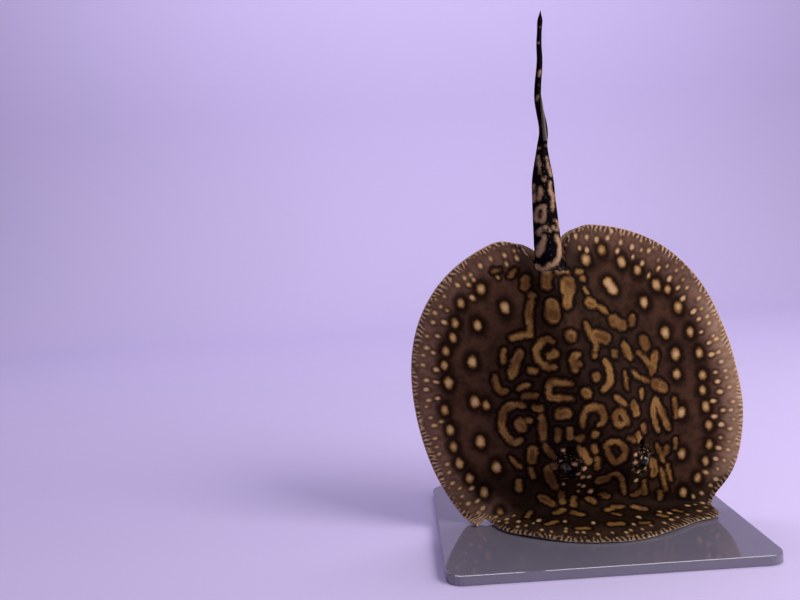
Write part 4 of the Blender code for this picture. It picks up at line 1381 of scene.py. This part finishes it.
def eye_ripples(g, at):
    """Ripples about each eye, and where they may show."""
    ripples = g.maths("SINE", g.plus(g.times(at.from_eye, 3.4), g.times(g.noise(at.plan, 0.3, 3.0), 10.0)))
    ringed = g.times(g.fade(at.from_eye, 15.0, 11.0), g.fade(at.from_eye, 5.0, 7.0))
    return ripples, ringed


def margin_bars(g, look, at, coat):
    """Short pale bars and dark gaps along the margin, fainter on the folded front as part of its painted
    shade, and a painted highlight along the very edge.
    """
    turns = g.times(g.value("around_margin"), 2 * math.pi / BAR_PITCH)
    bars = g.maths("SINE", g.plus(turns, g.times(g.noise(at.plan, 0.10, 3.0), 16.0)))
    length = g.fade(g.noise(at.plan, 0.07, 3.0), 0.35, 0.65, 2.5, 10.0)
    within = g.times(g.fade(g.maths("DIVIDE", at.inward, length), 1.0, 0.35), at.off_tail,
                     g.fade(at.back, -100.0, -84.0, 0.55, 1.0))
    coat = g.mix(g.times(g.fade(bars, -0.2, -0.9, 0.0, 0.35), within), coat, look.outline)
    tips = g.times(g.fade(bars, -0.1, 0.8, 0.0, 0.65), within)
    # Painted highlight: a thin pale line along the very edge of the disc.
    rim = g.times(g.fade(at.inward, 1.2, 0.1), g.fade(at.broad, 0.40, 0.60, 0.3, 0.8),
                  g.largest(at.before_fold, g.fade(bars, -0.3, 0.5)), at.off_tail)
    return g.mix(g.largest(tips, rim), coat, look.margin)


def belly_tones(g, look, at):
    """Cream underside, blushed, dusky at the margin and dark along the tail, with painted shade in and round
    the mouth, nostrils and gill slits.
    """
    dusk = g.times(g.fade(at.inward, 26.0, 7.0), g.fade(at.mottle, 0.30, 0.60, 0.35, 1.0))
    dusk = g.largest(dusk, g.fade(at.height, 225.0, 290.0))
    blush = g.mix(g.fade(at.broad, 0.35, 0.70, 0.0, 0.6), look.belly, look.blush)
    belly = g.mix(g.times(dusk, 0.9), blush, look.hem)
    # Painted shade in and round the mouth, nostrils and gill slits: the belly goes towards the redder brown.
    belly = g.mix(g.times(g.value("by_opening"), 0.75), belly, look.mark_edge)
    return g.mix(g.fade(at.height, 255.0, 325.0, 0.0, 0.9), belly, look.tail)


def patterned_skin(look):
    """Brown skin with ochre strokes, cream eyespots, pale margin and cream belly, with painted shade, painted
    light and painted highlights in its colour.
    """
    made, g, shader = new_finish("patterned_skin", IOR=1.2, Specular_IOR_Level=0.06)
    at = SkinPlaces(g)
    coat = marks_over(g, look, at, ground_tones(g, look, at))
    ripples, ringed = eye_ripples(g, at)
    # Painted highlights: pale streaks along the crests of the ripples round each eye, standing for light on
    # the wet wrinkles.
    painted_eye_highlights = g.times(g.fade(ripples, 0.70, 0.98), g.fade(g.noise(at.plan, 0.45, 2.0), 0.50, 0.62))
    coat = g.mix(g.times(painted_eye_highlights, ringed, 0.6), coat, look.margin)
    coat = margin_bars(g, look, at, coat)
    coat = g.mix(g.value("underside"), coat, belly_tones(g, look, at))
    g.feed(shader.inputs["Base Color"], coat)

    wetter = g.fade(at.from_eye, 16.0, 9.0, 0.0, 0.2)
    g.feed(shader.inputs["Roughness"], g.maths("SUBTRACT", g.fade(at.mottle, 0.3, 0.7, 0.46, 0.60), wetter))
    grains = g.add("ShaderNodeTexVoronoi", {"Vector": at.plan, "Scale": 1.05, "Randomness": 0.9})
    relief = g.plus(g.times(grains.outputs["Distance"], -0.6), at.fine, g.times(ripples, ringed, 0.9))
    g.feed(shader.inputs["Normal"], g.bump(relief, 0.00022, 0.75))
    return made


def wet_eye():
    """Dark eye with a dull bronze ring round a wide pupil."""
    made, g, shader = new_finish("wet_eye", Roughness=0.22, Specular_IOR_Level=0.35)
    place = g.vector("eye_place")
    axes = g.add("ShaderNodeSeparateXYZ", {"Vector": place}).outputs
    flat = g.add("ShaderNodeCombineXYZ", {"X": axes["X"], "Y": g.times(axes["Y"], 1.25)})
    reach = g.add("ShaderNodeVectorMath", {0: flat.outputs[0]}, operation="LENGTH").outputs["Value"]
    fibres = g.noise(g.scaled(place, (9.0, 9.0, 2.0)), 2.4, 5.0, 0.7)
    reach = g.plus(reach, g.times(fibres, 0.10))
    ring = g.mix(g.fade(fibres, 0.35, 0.62), paint(26, 17, 15), paint(92, 68, 42))
    ring = g.mix(g.fade(reach, 0.62, 0.74), ring, paint(9, 6, 8))
    front = g.fade(axes["Z"], -0.05, 0.15)
    eye = g.mix(g.fade(reach, 0.44, 0.50), paint(3, 2, 4), ring)
    g.feed(shader.inputs["Base Color"], g.mix(front, paint(14, 9, 10), eye))
    return made


def two_tone(name, specular, cloud, band, tones, stretch=None, **grain):
    """A finish that drifts between two tones, with the shared grain on top.

    The cloud is the scale, detail and roughness of its noise; the band is where it fades.
    """
    made, g, shader = new_finish(name, Specular_IOR_Level=specular)
    place = g.scaled(g.place(), stretch) if stretch else g.place()
    g.feed(shader.inputs["Base Color"], g.mix(g.fade(g.noise(place, *cloud), *band), *tones))
    with_grain(g, shader, **grain)
    return made


def tinted(colour, tint, share):
    """A colour moved part of the way to a tint."""
    return tuple(c + (t - c) * share for c, t in zip(colour, tint))


def horn():
    """Brownish horn with a lengthwise grain, for the sting."""
    return two_tone("horn", 0.5, (1500.0, 4.0, 0.6), (0.3, 0.7), (paint(42, 31, 27), paint(84, 67, 54)),
                    stretch=(1.0, 1.0, 0.12),
                    Scale=1400.0, Stretch=0.2, Roughest=0.5, Smoothest=0.32, Depth=0.00006)


def thorn_horn():
    """Near-black horn, worn paler, for the thorns of the tail."""
    return two_tone("thorn_horn", 0.2, (900.0, 3.0), (0.45, 0.7), (paint(24, 18, 18), paint(70, 56, 48)),
                    Scale=1600.0, Roughest=0.5, Smoothest=0.35, Depth=0.00004)


def soft_rubber():
    """Matt dark rubber with a light bloom."""
    return two_tone("soft_rubber", 0.3, (260.0, 4.0, 0.6), (0.45, 0.75),
                    (paint(40, 40, 43), paint(66, 65, 68)),
                    Scale=2600.0, Roughest=0.85, Smoothest=0.65, Depth=0.00005)


def gloss_plate(colour):
    """Polished grey acrylic, with the faint smears that handling leaves."""
    return two_tone("gloss_plate", 1.0, (9.0, 3.0), (0.35, 0.7),
                    (colour, tinted(colour, (0.3, 0.3, 0.42), 0.06)),
                    Scale=160.0, Roughest=0.10, Smoothest=0.05, Depth=0.000002)


def backdrop_paint(colour):
    """Pale matt paint with a barely visible roller texture."""
    return two_tone("backdrop_paint", 0.2, (1.3, 3.0), (0.3, 0.7),
                    (colour, tinted(colour, (0.45, 0.42, 0.6), 0.05)),
                    Scale=300.0, Roughest=0.8, Smoothest=0.65, Depth=0.00004)


def brushed_steel():
    """Satin steel with fine lengthwise brush lines."""
    made, g, shader = new_finish("brushed_steel", Metallic=1.0, Base_Color=paint(196, 197, 202))
    with_grain(g, shader, Scale=2200.0, Stretch=0.03, Roughest=0.40, Smoothest=0.24, Depth=0.00002)
    return made


def light_the_scene(look):
    """Soft room light, and the lamps at the powers that the user set."""
    world = bpy.data.worlds.new("soft_room")
    world.use_nodes = True
    room = world.node_tree.nodes["Background"]
    room.inputs["Color"].default_value = (*look.room, 1.0)
    room.inputs["Strength"].default_value = look.room_power
    bpy.context.scene.world = world
    for name, place, aim, size, colour in LAMPS:
        add_light(name + "_light", place, aim, size, getattr(look, name + "_power"), colour)
    bpy.context.scene.view_settings.view_transform = "Standard"


# ------------------------------------------------------------- what a user sets

def tone(name, description, default):
    return bpy.props.FloatVectorProperty(name=name, description=description, subtype="COLOR", size=3,
                                         min=0.0, max=1.0, default=default)


def power(name, description, default, unit="POWER"):
    return bpy.props.FloatProperty(name=name, description=description, default=default, min=0.0, unit=unit)


class CoatSettings(bpy.types.PropertyGroup):
    """Colours of the patterned skin."""
    ground: tone("Ground", "Dark brown between the marks, mid-body", paint(44, 28, 20))
    wing: tone("Wing", "Warmer brown towards the fins", paint(71, 47, 35))
    hem: tone("Hem", "Lighter brown along the margin", paint(118, 88, 76))
    # Also the colour of the painted shade on the flank beside the head and on the folded front.
    outline: tone("Outlines", "Near-black that rings every mark", paint(9, 5, 4))
    mark: tone("Marks", "Ochre of the strokes and rings", paint(136, 100, 57))
    # Also the colour of the painted shade round the openings of the underside.
    mark_edge: tone("Mark edges", "Redder brown where a stroke fades out", paint(74, 46, 24))
    spot: tone("Spots", "Cream at the heart of each eyespot", paint(180, 147, 110))
    # Also the colour of the painted light on the fish's left margin, and of the painted highlights along the
    # edge and round the eyes.
    margin: tone("Margin", "Pale tips along the edge of the disc", paint(194, 160, 132))
    tail: tone("Tail", "Violet-black of the tail between its marks", paint(6, 3, 12))
    belly: tone("Belly", "Cream of the underside", paint(240, 228, 200))
    blush: tone("Blush", "Pinkish clouding of the underside", paint(230, 200, 178))


class StudioSettings(bpy.types.PropertyGroup):
    """Backdrop and light."""
    backdrop: tone("Backdrop", "Paint of the floor and wall", paint(200, 188, 228))
    plate: tone("Plate", "Colour of the stand's acrylic plate", paint(104, 99, 116))
    room: tone("Room", "Tint of the light from all round", (0.86, 0.83, 0.96))
    room_power: power("Room light", "Strength of the light from all round", 0.26, "NONE")
    key_power: power("Key light", "Power of the soft light from the upper right", 27.0)
    fill_power: power("Fill light", "Power of the cool light from the left", 1.6)
    rim_power: power("Side light", "Power of the lamp that grazes the fish's left margin", 5.0)
    backdrop_power: power("Backdrop light", "Power of the light on the wall behind", 38.0)


class BuildSkin(bpy.types.Operator):
    """Carve, mark and stand up the one-piece skin"""
    bl_idname = "stingray.build_skin"
    bl_label = "Skin"

    def execute(self, context):
        build_skin(patterned_skin(context.scene.stingray_coat))
        return {"FINISHED"}


class BuildEyes(bpy.types.Operator):
    """Set both eyes in their sockets"""
    bl_idname = "stingray.build_eyes"
    bl_label = "Eyes"

    def execute(self, context):
        finish = wet_eye()
        for side in (-1, 1):
            build_eye(side, finish)
        return {"FINISHED"}


class BuildStingAndThorns(bpy.types.Operator):
    """Lay the toothed sting and the row of thorns along the tail"""
    bl_idname = "stingray.build_sting"
    bl_label = "Sting and thorns"

    def execute(self, context):
        build_sting(horn())
        build_thorns(thorn_horn())
        return {"FINISHED"}


class BuildStand(bpy.types.Operator):
    """Finish the plate and make the rods and pads behind the fish"""
    bl_idname = "stingray.build_stand"
    bl_label = "Stand"

    def execute(self, context):
        steel, rubber = brushed_steel(), soft_rubber()
        for side, word in ((-1, "right"), (1, "left")):
            x = ROD_MIDDLE_X + side * ROD_SPREAD
            build_rod("stand_rod_" + word, x, steel)
            build_pad("stand_pad_" + word, x, rubber)
        polish = gloss_plate(context.scene.stingray_studio.plate)
        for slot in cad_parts["stand_base"].material_slots:
            slot.material = polish
        return {"FINISHED"}


class BuildStudio(bpy.types.Operator):
    """Put up the backdrop, the lights and the camera"""
    bl_idname = "stingray.build_studio"
    bl_label = "Studio"

    def execute(self, context):
        look = context.scene.stingray_studio
        build_backdrop(backdrop_paint(look.backdrop))
        light_the_scene(look)
        add_camera()
        return {"FINISHED"}


STEPS = (BuildSkin, BuildEyes, BuildStingAndThorns, BuildStand, BuildStudio)


class StingrayPanel(bpy.types.Panel):
    """Lists the settings and the building steps"""
    bl_idname = "VIEW3D_PT_stingray"
    bl_label = "Freshwater stingray"
    bl_space_type = "VIEW_3D"
    bl_region_type = "UI"
    bl_category = "Stingray"

    def draw(self, context):
        for look in (context.scene.stingray_coat, context.scene.stingray_studio):
            box = self.layout.box()
            for name in look.__annotations__:
                box.prop(look, name)
        for step in STEPS:
            self.layout.operator(step.bl_idname)


CLASSES = (CoatSettings, StudioSettings, *STEPS, StingrayPanel)


def register():
    for item in CLASSES:
        bpy.utils.register_class(item)
    bpy.types.Scene.stingray_coat = bpy.props.PointerProperty(type=CoatSettings)
    bpy.types.Scene.stingray_studio = bpy.props.PointerProperty(type=StudioSettings)


def unregister():
    del bpy.types.Scene.stingray_studio
    del bpy.types.Scene.stingray_coat
    for item in reversed(CLASSES):
        bpy.utils.unregister_class(item)


def main():
    register()
    bpy.ops.stingray.build_skin()
    bpy.ops.stingray.build_eyes()
    bpy.ops.stingray.build_sting()
    bpy.ops.stingray.build_stand()
    bpy.ops.stingray.build_studio()


if __name__ == "__main__":
    main()
